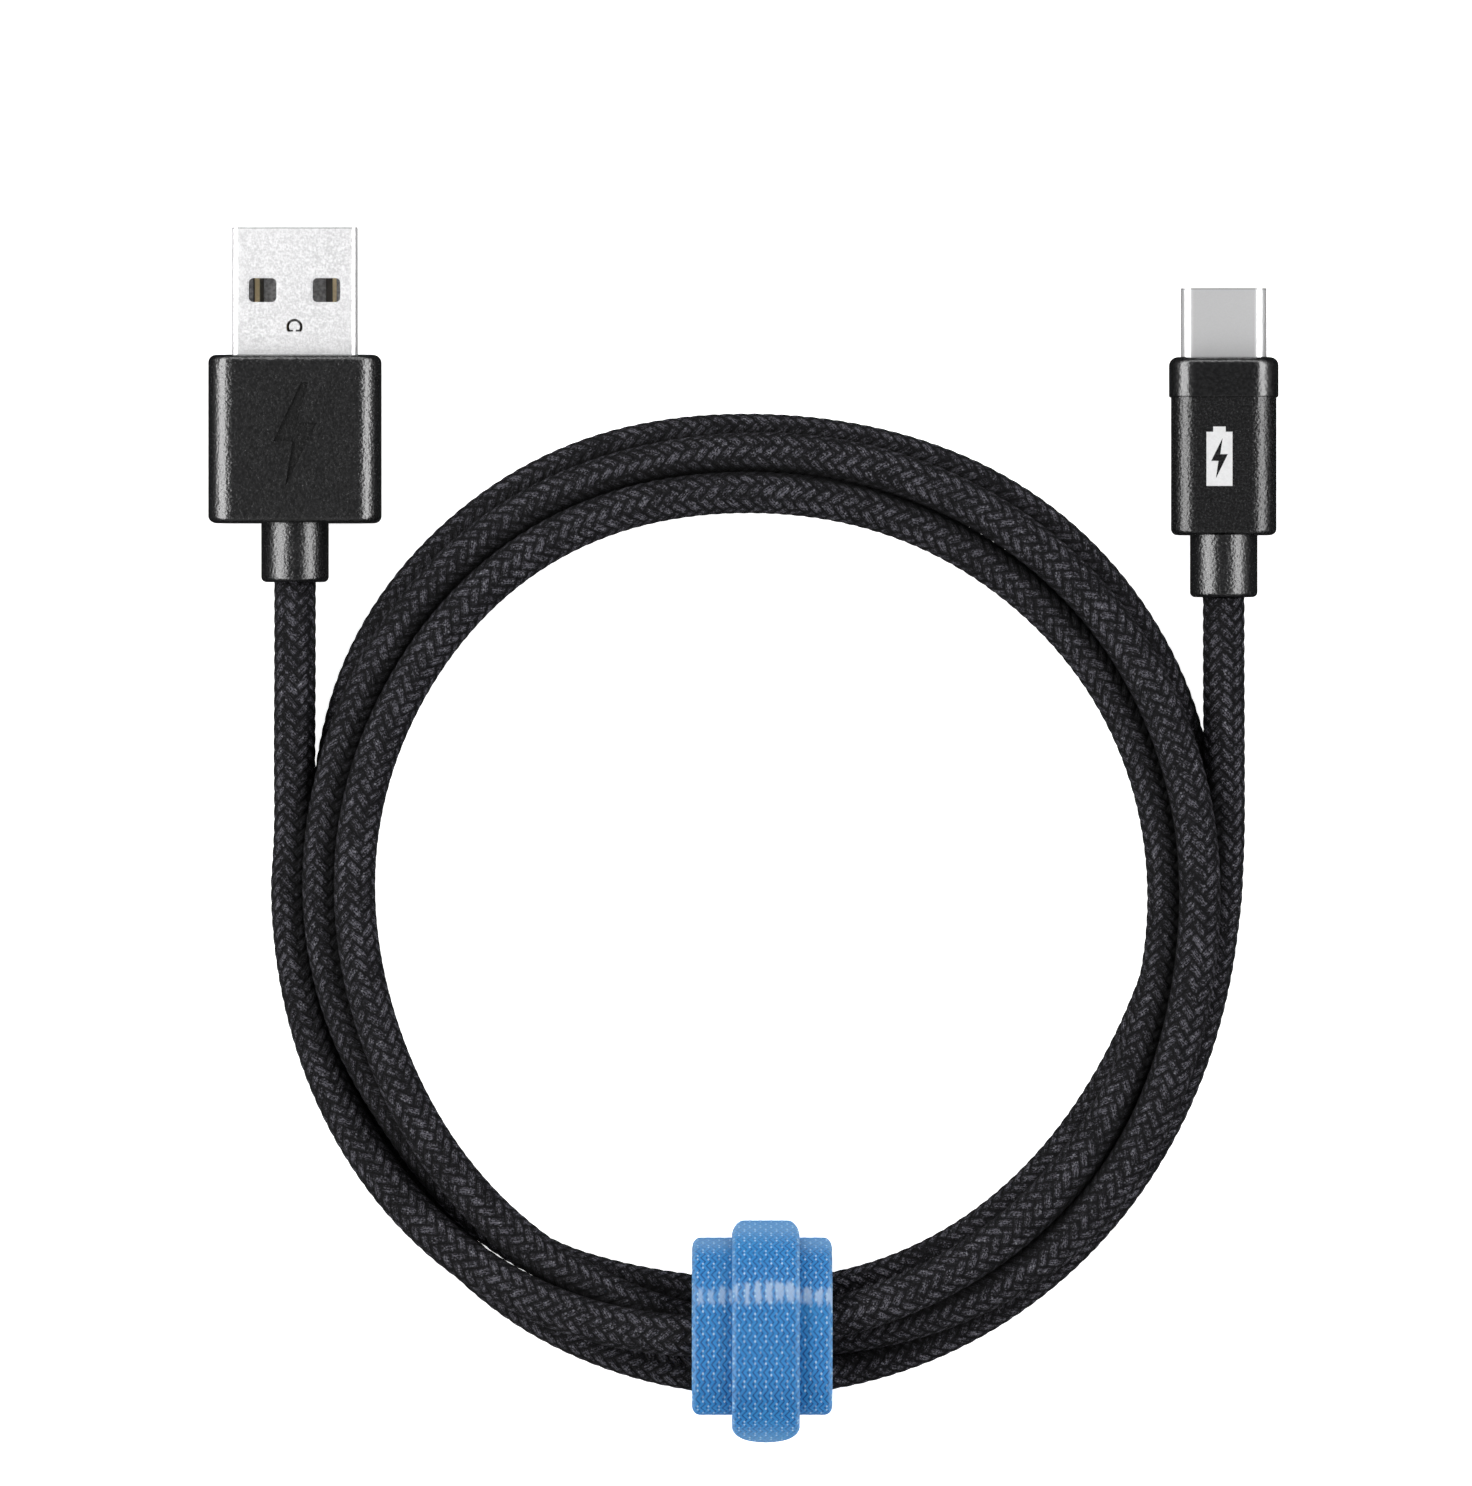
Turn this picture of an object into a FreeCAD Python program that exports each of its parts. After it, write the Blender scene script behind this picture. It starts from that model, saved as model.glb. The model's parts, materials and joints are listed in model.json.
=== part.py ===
# USB-A to USB-C charging cable, 1 m, braided sleeve, wound into a round coil
# and tied with a hook-and-loop strap. Lies flat on a surface at z = 0.
# Frame: +Z up, origin on the surface at the centre of the whole part's
# outline, both plugs point along +Y. Millimetres. The pieces are laid out
# about the centre of the coil and shifted to the origin when saved.
import FreeCAD, Part
import math
import os

os.makedirs("parts", exist_ok=True)
V = FreeCAD.Vector

# ------------------------------------------------------------ dimensions ----
COIL_CX, COIL_CY = 1.63, -6.33   # centre of the coil in the part's frame
CABLE_D = 4.0            # braided cable, outside diameter
WIRE_D = 0.75            # insulated conductor
CORE_D = 0.45            # bare conductor

# USB-A plug
AX, AZ = -44.78, 4.0     # axis of the plug
A_TIP = 64.66            # front edge of the metal shell
A_FRONT = 52.40          # front face of the housing
A_REAR = 36.25           # rear face of the housing
A_RELIEF_END = 30.58
A_SHELL_W, A_SHELL_H, A_SHELL_T, A_SHELL_L = 12.0, 4.5, 0.3, 18.75
A_HOUSING_W, A_HOUSING_H, A_HOUSING_R = 16.6, 8.0, 2.4
A_RELIEF_D = 6.5
A_WINDOW_W, A_WINDOW_L, A_WINDOW_X, A_WINDOW_Y = 2.65, 2.3, 3.07, 6.05
A_CONTACT_X = {"vbus": -3.5, "data_minus": -1.0, "data_plus": 1.0, "ground": 3.5}
A_CONTACT_W, A_CONTACT_T = 1.0, 0.25
A_MARK_DEPTH = 0.25

# USB-C plug
CX, CZ = 44.57, 3.45
C_TIP = 58.86
C_FRONT = 52.21          # front face of the collar
C_COLLAR_REAR = 48.37
C_REAR = 35.10           # rear face of the housing
C_RELIEF_END = 29.13
C_SHELL_W, C_SHELL_H, C_SHELL_T, C_SHELL_L = 8.25, 2.40, 0.25, 11.46
C_COLLAR_W, C_COLLAR_H, C_COLLAR_R = 10.5, 6.9, 2.6
C_HOUSING_W, C_HOUSING_H, C_HOUSING_R = 10.1, 6.5, 2.4
C_RELIEF_D = 6.5
C_PITCH, C_CONTACT_W, C_CONTACT_T = 0.5, 0.25, 0.15
C_MARK_X, C_MARK_Y, C_MARK_T = -0.5, 42.64, 0.14

# coil of cable, three and a half turns
COIL_R_IN, COIL_R_OUT, COIL_H = 36.05, 47.8, 11.7
COIL_EDGE_TOP, COIL_EDGE_LOW = 3.4, 1.8
STRAP_NOTCH_H, STRAP_NOTCH_X = 1.6, 12.5

# hook-and-loop strap, wraps the coil at its lowest point in plan (-Y)
STRAP_W, STRAP_X = 13.46, 0.145
STRAP_T = 1.1
STRAP_TAIL_W, STRAP_TAIL_X = 6.5, 0.5
STRAP_IN, STRAP_OUT = 32.2, 49.4          # radial extent of the wide band
STRAP_TAIL_IN, STRAP_TAIL_OUT = 30.8, 52.0

# ---------------------------------------------------------------- helpers ---


def prism(cx, cz, w, h, r, y0, y1):
    """Rounded rectangle w x h about (cx, cz), extruded from y0 to y1."""
    r = min(r, w / 2.0, h / 2.0)
    x0, x1, z0, z1 = cx - w / 2.0, cx + w / 2.0, cz - h / 2.0, cz + h / 2.0
    k = r * (1 - math.sqrt(0.5))

    def p(x, z):
        return V(x, y0, z)
    edges = []

    def line(a, b):
        if a.distanceToPoint(b) > 1e-6:
            edges.append(Part.LineSegment(a, b).toShape())
    if r > 1e-6:
        line(p(x0 + r, z0), p(x1 - r, z0))
        edges.append(Part.Arc(p(x1 - r, z0), p(x1 - k, z0 + k), p(x1, z0 + r)).toShape())
        line(p(x1, z0 + r), p(x1, z1 - r))
        edges.append(Part.Arc(p(x1, z1 - r), p(x1 - k, z1 - k), p(x1 - r, z1)).toShape())
        line(p(x1 - r, z1), p(x0 + r, z1))
        edges.append(Part.Arc(p(x0 + r, z1), p(x0 + k, z1 - k), p(x0, z1 - r)).toShape())
        line(p(x0, z1 - r), p(x0, z0 + r))
        edges.append(Part.Arc(p(x0, z0 + r), p(x0 + k, z0 + k), p(x0 + r, z0)).toShape())
    else:
        return Part.makeBox(w, y1 - y0, h, V(x0, y0, z0))
    face = Part.Face(Part.Wire(edges))
    return face.extrude(V(0, y1 - y0, 0))


def box(x0, x1, y0, y1, z0, z1):
    return Part.makeBox(x1 - x0, y1 - y0, z1 - z0, V(x0, y0, z0))


def cyl_y(cx, cz, d, y0, y1):
    return Part.makeCylinder(d / 2.0, y1 - y0, V(cx, y0, cz), V(0, 1, 0))


def plate(points, z0, z1):
    """Flat outline in plan, between two heights."""
    pts = [V(x, y, z0) for x, y in points]
    face = Part.Face(Part.makePolygon(pts + [pts[0]]))
    return face.extrude(V(0, 0, z1 - z0))


def end_edges(shape, y, tol=1e-4):
    """Edges that lie wholly in the plane at y."""
    out = []
    for e in shape.Edges:
        bb = e.BoundBox
        if abs(bb.YMin - y) < tol and abs(bb.YMax - y) < tol:
            out.append(e)
    return out


def rod(points, d):
    """Round rod through the points, with ball joints at the bends."""
    shape = None
    for a, b in zip(points[:-1], points[1:]):
        piece = Part.makeCylinder(d / 2.0, a.distanceToPoint(b), a, b.sub(a))
        shape = piece if shape is None else shape.fuse(piece)
    for q in points[1:-1]:
        shape = shape.fuse(Part.makeSphere(d / 2.0, q))
    return shape.removeSplitter()


def route(points, d, name):
    """Round tube on straight runs joined by tangent arcs."""
    n = len(points)
    runs = [points[i].distanceToPoint(points[i + 1]) for i in range(n - 1)]
    edges = []
    start = points[0]
    radii = []
    for i in range(1, n - 1):
        a = points[i - 1].sub(points[i])
        b = points[i + 1].sub(points[i])
        a.normalize()
        b.normalize()
        turn = math.pi - a.getAngle(b)
        cut = 0.45 * min(runs[i - 1], runs[i])
        radius = cut / math.tan(turn / 2.0)
        radii.append(radius)
        p1 = points[i].add(V(a).multiply(cut))
        p2 = points[i].add(V(b).multiply(cut))
        bis = a.add(b)
        bis.normalize()
        mid = points[i].add(V(bis).multiply(radius / math.cos(turn / 2.0) - radius))
        edges.append(Part.LineSegment(start, p1).toShape())
        edges.append(Part.Arc(p1, mid, p2).toShape())
        start = p2
    edges.append(Part.LineSegment(start, points[-1]).toShape())
    wire = Part.Wire(edges)
    tangent = points[1].sub(points[0])
    ring = Part.Wire(Part.Circle(points[0], tangent, d / 2.0).toShape())
    tube = wire.makePipeShell([ring], True, False)
    want = math.pi * d * d / 4.0 * wire.Length
    print("%s: length %.2f, volume ratio %.4f, radii %s"
          % (name, wire.Length, tube.Volume / want,
             ", ".join("%.0f" % q for q in radii)))
    return tube


def save(name, shape):
    shape = shape.copy()
    shape.translate(V(COIL_CX, COIL_CY, 0))
    shape.exportStep("parts/%s.step" % name)
    print("%-26s solids %d  volume %.3f  valid %s" % (
        name, len(shape.Solids), shape.Volume, shape.isValid()))


# ================================================================ USB-A =====
a_shell_rear = A_TIP - A_SHELL_L
a_shell_solid = prism(AX, AZ, A_SHELL_W, A_SHELL_H, 0.6, a_shell_rear, A_TIP)
a_bore = prism(AX, AZ, A_SHELL_W - 2 * A_SHELL_T, A_SHELL_H - 2 * A_SHELL_T, 0.32,
               a_shell_rear, A_TIP)
shell = a_shell_solid.cut(a_bore)
for sx in (-1, 1):
    wx = AX + sx * A_WINDOW_X
    win = prism(wx, 0, A_WINDOW_W, 1.0, 0, 0, 1)
    win = Part.makeBox(A_WINDOW_W, A_WINDOW_L, 12, V(wx - A_WINDOW_W / 2.0,
                       A_TIP - A_WINDOW_Y - A_WINDOW_L / 2.0, AZ - 6))
    win = win.makeFillet(0.45, [e for e in win.Edges
                                if e.BoundBox.ZLength > 11])
    shell = shell.cut(win)
    # pressed rim round the window, on both faces
    for z0 in (AZ + A_SHELL_H / 2.0 - 0.09, AZ - A_SHELL_H / 2.0 - 0.91):
        rim = Part.makeBox(A_WINDOW_W + 0.34, A_WINDOW_L + 0.34, 1.0,
                           V(wx - A_WINDOW_W / 2.0 - 0.17,
                             A_TIP - A_WINDOW_Y - A_WINDOW_L / 2.0 - 0.17, z0))
        rim = rim.makeFillet(0.60, [e for e in rim.Edges
                                    if e.BoundBox.ZLength > 0.9
                                    and e.BoundBox.XLength < 0.01
                                    and e.BoundBox.YLength < 0.01])
        shell = shell.cut(rim)
# lanced locking dimple on the upper face, D shaped, with its pressed-in tongue
dy = A_TIP - 9.6
dimple = Part.makeCylinder(0.78, 1.0, V(AX, dy, AZ + A_SHELL_H / 2.0 - 0.5))
dimple = dimple.cut(box(AX - 2, AX + 2, dy - 2, dy - 0.44, AZ, AZ + 4))
tongue = Part.makeCylinder(0.52, A_SHELL_T, V(AX, dy + 0.02, AZ + A_SHELL_H / 2.0 - A_SHELL_T - 0.12))
tongue = tongue.cut(box(AX - 2, AX + 2, dy - 2, dy - 0.26, AZ, AZ + 4))
bridge = box(AX - 0.14, AX + 0.14, dy - 0.50, dy + 0.1,
             AZ + A_SHELL_H / 2.0 - A_SHELL_T - 0.06, AZ + A_SHELL_H / 2.0 - 0.14)
shell = shell.cut(dimple).fuse(bridge).fuse(tongue).removeSplitter()
# folded seam along the lower face
shell = shell.cut(box(AX - 0.05, AX + 0.05, a_shell_rear - 1, A_TIP + 1,
                      AZ - A_SHELL_H, AZ - A_SHELL_H / 2.0 + A_SHELL_T + 0.01))
save("usb_a_shell", shell)

contacts_a = {}
for name, x in A_CONTACT_X.items():
    front = A_TIP - (1.5 if abs(x) > 2 else 2.5)
    c = box(AX + x - A_CONTACT_W / 2.0, AX + x + A_CONTACT_W / 2.0, 42.3, front,
            AZ - 0.20, AZ - 0.20 + A_CONTACT_T)
    nose = [e for e in c.Edges if e.BoundBox.XLength > 0.9
            and e.BoundBox.YMax > front - 1e-4 and e.BoundBox.ZMax > AZ]
    c = c.makeFillet(0.12, nose)
    contacts_a[name] = c
    save("usb_a_contact_" + name, c)

hw = (A_SHELL_W - 2 * A_SHELL_T) / 2.0 - 0.25
z_low = AZ - A_SHELL_H / 2.0 + A_SHELL_T + 0.02
z_top = AZ + A_SHELL_H / 2.0 - A_SHELL_T - 0.02
ins = box(AX - hw, AX + hw, 42.0, A_TIP - 0.55, z_low, AZ)
ins = ins.fuse(box(AX - hw, AX + hw, 44.6, A_TIP - 11.9, z_low, z_top)).removeSplitter()
ins = ins.cut(Part.makeCompound([
    box(AX + x - A_CONTACT_W / 2.0 - 0.02, AX + x + A_CONTACT_W / 2.0 + 0.02, 41.9,
        A_TIP - (1.5 if abs(x) > 2 else 2.5) + 0.02, AZ - 0.20, AZ + A_CONTACT_T)
    for x in A_CONTACT_X.values()]))
save("usb_a_insulator", ins)

# conductors: start at the cable end, fan out to the four contact tails
wire_ends_a = {
    "red": (A_CONTACT_X["vbus"], -0.5, 0.5),
    "white": (A_CONTACT_X["data_minus"], -0.5, -0.5),
    "green": (A_CONTACT_X["data_plus"], 0.5, -0.5),
    "black": (A_CONTACT_X["ground"], 0.5, 0.5),
}
wires_a = {}
A_CABLE_END = 39.2
for colour, (x, ox, oz) in wire_ends_a.items():
    zz = AZ + 0.55
    w = rod([V(AX + ox, A_CABLE_END, AZ + oz), V(AX + ox, 40.15, AZ + oz),
             V(AX + x, 41.7, zz), V(AX + x, 42.2, zz)], WIRE_D)
    w = w.fuse(cyl_y(AX + x, zz - 0.2, CORE_D, 42.1, 44.1)).removeSplitter()
    wires_a[colour] = w
    save("usb_a_wire_" + colour, w)

blobs = []
for colour, (x, ox, oz) in wire_ends_a.items():
    b = Part.makeSphere(0.5)
    m = FreeCAD.Matrix()
    m.scale(1.05, 1.7, 1.0)
    b = b.transformGeometry(m)
    b.translate(V(AX + x, 43.3, AZ + 0.12))
    b = b.common(box(AX + x - 1, AX + x + 1, 42.35, 44.5, AZ + 0.05, AZ + 2))
    blobs.append(b.cut(wires_a[colour]))
save("usb_a_solder_joints", Part.makeCompound([s for b in blobs for s in b.Solids
                                               if s.Volume > 0.01]))

# folded back shield that grips the shell and is crimped on the cable
A_SHIELD_Y0, A_SHIELD_Y1, A_NECK_Y0 = 40.0, 47.6, 37.4
shield_out = prism(AX, AZ, A_SHELL_W + 0.6, A_SHELL_H + 0.6, 0.9, A_SHIELD_Y0, A_SHIELD_Y1)
neck_out = cyl_y(AX, AZ, CABLE_D + 0.6, A_NECK_Y0, A_SHIELD_Y0 + 0.1)
shield = shield_out.fuse(neck_out)
shield = shield.cut(prism(AX, AZ, A_SHELL_W, A_SHELL_H, 0.6, A_SHIELD_Y0 + 0.3, A_SHIELD_Y1 + 1))
shield = shield.cut(cyl_y(AX, AZ, CABLE_D, A_NECK_Y0 - 1, A_SHIELD_Y0 + 1)).removeSplitter()
save("usb_a_back_shield", shield)

save("usb_a_cable_end", cyl_y(AX, AZ, CABLE_D, A_RELIEF_END, A_CABLE_END))

# strain relief, moulded on the cable first, its flange locked in the housing
relief = cyl_y(AX, AZ, A_RELIEF_D, A_RELIEF_END, 37.0)
relief = relief.makeFillet(0.5, end_edges(relief, A_RELIEF_END))
relief = relief.fuse(cyl_y(AX, AZ, 7.1, 36.95, 37.9)).removeSplitter()
relief = relief.cut(cyl_y(AX, AZ, CABLE_D, 20, 45)).cut(cyl_y(AX, AZ, CABLE_D + 0.6, A_NECK_Y0, 45))
save("usb_a_strain_relief", relief)
relief_solid = cyl_y(AX, AZ, A_RELIEF_D, A_RELIEF_END, 37.0).fuse(cyl_y(AX, AZ, 7.1, 36.95, 37.9))

# inner mould round the joints
inner_solid = prism(AX, AZ, 14.2, 6.3, 1.4, 37.9, 50.6)
inner = inner_solid.cut(shield_out.fuse(cyl_y(AX, AZ, CABLE_D + 0.6, 37, A_SHIELD_Y0 + 0.1)))
inner = inner.cut(a_shell_solid)
save("usb_a_inner_mould", inner)

# moulded housing with a sunk lightning bolt
body = prism(AX, AZ, A_HOUSING_W, A_HOUSING_H, A_HOUSING_R, A_REAR, A_FRONT)
body = body.makeFillet(0.7, end_edges(body, A_REAR) + end_edges(body, A_FRONT))
body = body.cut(inner_solid).cut(a_shell_solid).cut(relief_solid)
bolt = [(0.55, 5.0), (-2.1, -0.65), (-0.25, -0.65), (-0.95, -5.0),
        (2.1, 1.15), (0.2, 1.15), (1.25, 5.0)]
body = body.cut(plate([(AX + 0.1 + x, 44.7 + y) for x, y in bolt],
                      AZ + A_HOUSING_H / 2.0 - A_MARK_DEPTH, AZ + A_HOUSING_H))
save("usb_a_housing", body)

# ================================================================ USB-C =====
c_shell_rear = C_TIP - C_SHELL_L
c_shell_solid = prism(CX, CZ, C_SHELL_W, C_SHELL_H, 1.2, c_shell_rear, C_TIP)
c_shell = c_shell_solid.cut(prism(CX, CZ, C_SHELL_W - 2 * C_SHELL_T,
                                  C_SHELL_H - 2 * C_SHELL_T, 0.95, c_shell_rear, C_TIP))
save("usb_c_shell", c_shell)

# side latch arms joined behind the mouth
arm_in, arm_out, th = 3.5, 3.78, 0.1
latch = box(CX - arm_out, CX + arm_out, 46.95, 48.9, CZ - th, CZ + th)
for s in (-1, 1):
    x0, x1 = sorted((CX + s * arm_in, CX + s * arm_out))
    latch = latch.fuse(box(x0, x1, 48.8, 57.1, CZ - th, CZ + th))
    hook = [(CX + s * arm_in, 55.9), (CX + s * 3.15, 56.5), (CX + s * 3.15, 56.8),
            (CX + s * arm_in, 57.1)]
    latch = latch.fuse(plate(hook, CZ - th, CZ + th))
latch = latch.removeSplitter()
save("usb_c_latch_plate", latch)


def c_rows(indices, up):
    out = []
    for i in indices:
        x = CX + (i - 5.5) * C_PITCH
        z0 = CZ + 0.42 if up else CZ - 0.42 - C_CONTACT_T
        out.append(box(x - C_CONTACT_W / 2.0, x + C_CONTACT_W / 2.0, 45.2, 57.0,
                       z0, z0 + C_CONTACT_T))
    return out


upper = c_rows((0, 3, 4, 5, 6, 8, 11), True)
lower = c_rows((0, 3, 8, 11), False)
save("usb_c_contacts_upper", Part.makeCompound(upper))
save("usb_c_contacts_lower", Part.makeCompound(lower))

emi_u = box(CX - 2.6, CX + 2.6, 57.4, 58.4, CZ + 0.48, CZ + 0.60)
emi_l = box(CX - 2.6, CX + 2.6, 57.4, 58.4, CZ - 0.60, CZ - 0.48)
save("usb_c_ground_spring_upper", emi_u)
save("usb_c_ground_spring_lower", emi_l)

c_ins = prism(CX, CZ, C_SHELL_W - 2 * C_SHELL_T - 0.04, C_SHELL_H - 2 * C_SHELL_T - 0.04,
              0.93, 46.9, C_TIP - 0.15)
c_ins = c_ins.cut(box(CX - 3.45, CX + 3.45, 52.4, C_TIP + 1, CZ - 0.5, CZ + 0.5))
c_ins = c_ins.cut(Part.makeCompound(upper + lower)).cut(latch).cut(emi_u).cut(emi_l)
save("usb_c_insulator", c_ins)

# circuit board with its pull-up resistor
board = box(CX - 3.8, CX + 3.8, 39.9, 46.7, CZ - 0.4, CZ + 0.4)
board = board.makeFillet(0.4, [e for e in board.Edges if e.BoundBox.ZLength > 0.7
                               and e.BoundBox.YMax < 40])
save("usb_c_circuit_board", board)
res = box(CX + 1.3, CX + 2.3, 43.3, 43.8, CZ + 0.4, CZ + 0.75)
save("usb_c_resistor", res)

C_CABLE_END = 38.1
wire_ends_c = {
    "red": (-2.7, -0.5, 0.5),
    "white": (-0.9, -0.5, -0.5),
    "green": (0.9, 0.5, -0.5),
    "black": (2.7, 0.5, 0.5),
}
wires_c = {}
for colour, (x, ox, oz) in wire_ends_c.items():
    up = 1 if oz > 0 else -1          # two wires on each face of the board
    zz = CZ + up * 0.93
    w = rod([V(CX + ox, C_CABLE_END, CZ + oz), V(CX + ox, 38.8, CZ + oz),
             V(CX + x, 39.9, zz), V(CX + x, 40.3, zz)], WIRE_D)
    w = w.fuse(cyl_y(CX + x, zz - up * 0.08, CORE_D, 40.2, 41.9)).removeSplitter()
    wires_c[colour] = w
    save("usb_c_wire_" + colour, w)
blobs = []
for colour, (x, ox, oz) in wire_ends_c.items():
    b = Part.makeSphere(0.5)
    m = FreeCAD.Matrix()
    m.scale(1.05, 1.5, 1.0)
    b = b.transformGeometry(m)
    up = 1 if oz > 0 else -1
    b.translate(V(CX + x, 41.3, CZ + up * 0.5))
    zs = sorted((CZ + up * 0.4, CZ + up * 2.0))
    b = b.common(box(CX + x - 1, CX + x + 1, 40.4, 43, zs[0], zs[1]))
    blobs.append(b.cut(wires_c[colour]))
save("usb_c_solder_joints", Part.makeCompound([s for b in blobs for s in b.Solids
                                               if s.Volume > 0.01]))

# shield can over the board, crimped on the cable
C_CAN_Y0, C_CAN_Y1, C_NECK_Y0 = 38.7, 48.0, 36.6
can_out = prism(CX, CZ, 8.7, 4.3, 0.8, C_CAN_Y0, C_CAN_Y1)
can = can_out.fuse(cyl_y(CX, CZ, CABLE_D + 0.6 - 0.4, C_NECK_Y0, C_CAN_Y0 + 0.1))
can = can.cut(prism(CX, CZ, 8.3, 3.9, 0.6, C_CAN_Y0 + 0.2, C_CAN_Y1 - 0.2))
can = can.cut(c_shell_solid).cut(cyl_y(CX, CZ, CABLE_D - 0.2, C_NECK_Y0 - 1, C_CAN_Y0 + 1))
save("usb_c_shield_can", can.removeSplitter())

c_cable = cyl_y(CX, CZ, CABLE_D, C_RELIEF_END, C_NECK_Y0)
c_cable = c_cable.fuse(cyl_y(CX, CZ, CABLE_D - 0.2, C_NECK_Y0 - 0.1, C_CABLE_END)).removeSplitter()
save("usb_c_cable_end", c_cable)

c_relief = cyl_y(CX, CZ, C_RELIEF_D, C_RELIEF_END, C_REAR)
c_relief = c_relief.makeFillet(0.5, end_edges(c_relief, C_RELIEF_END))
c_relief = c_relief.fuse(cyl_y(CX, CZ, 5.4, C_REAR - 0.1, C_NECK_Y0)).removeSplitter()
c_relief = c_relief.cut(cyl_y(CX, CZ, CABLE_D, 20, 45))
save("usb_c_strain_relief", c_relief)

# collar round the root of the metal shell
collar = prism(CX, CZ, C_COLLAR_W, C_COLLAR_H, C_COLLAR_R, C_COLLAR_REAR, C_FRONT)
collar = collar.makeFillet(0.8, end_edges(collar, C_FRONT))
collar = collar.makeFillet(0.15, end_edges(collar, C_COLLAR_REAR))
collar = collar.cut(c_shell_solid)
save("usb_c_collar", collar)

# printed battery sign, let into the housing
mx, my = CX + C_MARK_X, C_MARK_Y
sign = [(-1.25, -2.85), (1.25, -2.85), (1.25, 2.35), (0.6, 2.35), (0.6, 2.85),
        (-0.6, 2.85), (-0.6, 2.35), (-1.25, 2.35)]
flash = [(0.30, 1.75), (-0.80, -0.45), (-0.10, -0.45), (-0.35, -2.15),
         (0.80, 0.20), (0.08, 0.20)]
z_face = CZ + C_HOUSING_H / 2.0
sign_cut = plate([(mx + x, my + y) for x, y in sign], z_face - C_MARK_T + 0.02, z_face + 0.02)
sign_cut = sign_cut.cut(plate([(mx + x, my + y) for x, y in flash], z_face - 1, z_face + 1))
save("usb_c_printed_sign", sign_cut)

c_body = prism(CX, CZ, C_HOUSING_W, C_HOUSING_H, C_HOUSING_R, C_REAR, C_COLLAR_REAR)
c_body = c_body.makeFillet(0.6, end_edges(c_body, C_REAR))
c_body = c_body.cut(can_out).cut(c_shell_solid)
c_body = c_body.cut(cyl_y(CX, CZ, CABLE_D + 0.2, C_NECK_Y0, 40))
c_body = c_body.cut(cyl_y(CX, CZ, 5.4, C_REAR - 1, C_NECK_Y0))
c_body = c_body.cut(sign_cut)
save("usb_c_housing", c_body)

# ================================================================ cable =====
TAIL_A = [V(AX, A_RELIEF_END, AZ), V(AX, 22.4, AZ), V(AX - 0.06, 14.0, 3.85)]
TAIL_C = [V(CX, C_RELIEF_END, CZ), V(CX, 21.8, CZ), V(CX - 0.03, 14.2, 3.85)]
tail_a = route(TAIL_A, CABLE_D, "cable_tail_usb_a")
tail_c = route(TAIL_C, CABLE_D, "cable_tail_usb_c")
save("cable_tail_usb_a", tail_a)
save("cable_tail_usb_c", tail_c)

# the wound turns as one closed ring with rounded edges
ri, ro, h, a, b = COIL_R_IN, COIL_R_OUT, COIL_H, COIL_EDGE_TOP, COIL_EDGE_LOW
s2 = 1 - math.sqrt(0.5)


def q(r, z):
    return V(r, 0, z)


edges = [
    Part.LineSegment(q(ri + b, 0), q(ro - b, 0)).toShape(),
    Part.Arc(q(ro - b, 0), q(ro - b * s2, b * s2), q(ro, b)).toShape(),
    Part.LineSegment(q(ro, b), q(ro, h - a)).toShape(),
    Part.Arc(q(ro, h - a), q(ro - a * s2, h - a * s2), q(ro - a, h)).toShape(),
    Part.LineSegment(q(ro - a, h), q(ri + a, h)).toShape(),
    Part.Arc(q(ri + a, h), q(ri + a * s2, h - a * s2), q(ri, h - a)).toShape(),
    Part.LineSegment(q(ri, h - a), q(ri, b)).toShape(),
    Part.Arc(q(ri, b), q(ri + b * s2, b * s2), q(ri + b, 0)).toShape(),
]
coil = Part.Face(Part.Wire(edges)).revolve(V(0, 0, 0), V(0, 0, 1), 360)
coil = coil.cut(box(-STRAP_NOTCH_X, STRAP_NOTCH_X, -50, -33, -1, STRAP_NOTCH_H))
coil = coil.cut(tail_a).cut(tail_c)
save("cable_coil", coil)

# ================================================================ strap =====


def strip(points, x0, x1):
    """Closed outline in the (radius, z) plane, at the -Y side of the coil."""
    pts = [V(x0, -r, z) for r, z in points]
    return Part.Face(Part.makePolygon(pts + [pts[0]])).extrude(V(x1 - x0, 0, 0))


t = STRAP_T
x0, x1 = STRAP_X - STRAP_W / 2.0, STRAP_X + STRAP_W / 2.0
hole = [(35.0, 1.25), (48.2, 1.25), (48.2, 10.2), (46.2, 12.2),
        (37.2, 12.2), (35.0, 10.0)]
outer = [(32.6, 0.0), (48.6, 0.0), (49.4, 0.9), (49.4, 10.6), (46.7, 13.3),
         (36.8, 13.3), (33.9, 10.4), (32.2, 4.2), (32.2, 0.5)]
band = strip(outer, x0, x1).cut(strip(hole, x0 - 1, x1 + 1))
xt0, xt1 = STRAP_TAIL_X - STRAP_TAIL_W / 2.0, STRAP_TAIL_X + STRAP_TAIL_W / 2.0
over = [(32.6, 0.0), (31.4, 0.3), (30.8, 1.0), (30.8, 4.6), (32.7, 10.9), (36.3, 14.4),
        (47.2, 14.4), (49.6, 12.4), (51.4, 9.6), (52.0, 7.2), (51.0, 6.8), (50.3, 8.9),
        (49.4, 10.6), (46.7, 13.3), (36.8, 13.3), (33.9, 10.4), (32.2, 4.2), (32.2, 0.5)]
tail = strip(over, xt0, xt1)
strap = band.fuse(tail).removeSplitter()
save("strap", strap)

print("nodes", len(os.listdir("parts")))
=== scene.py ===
import json
import math

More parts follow.
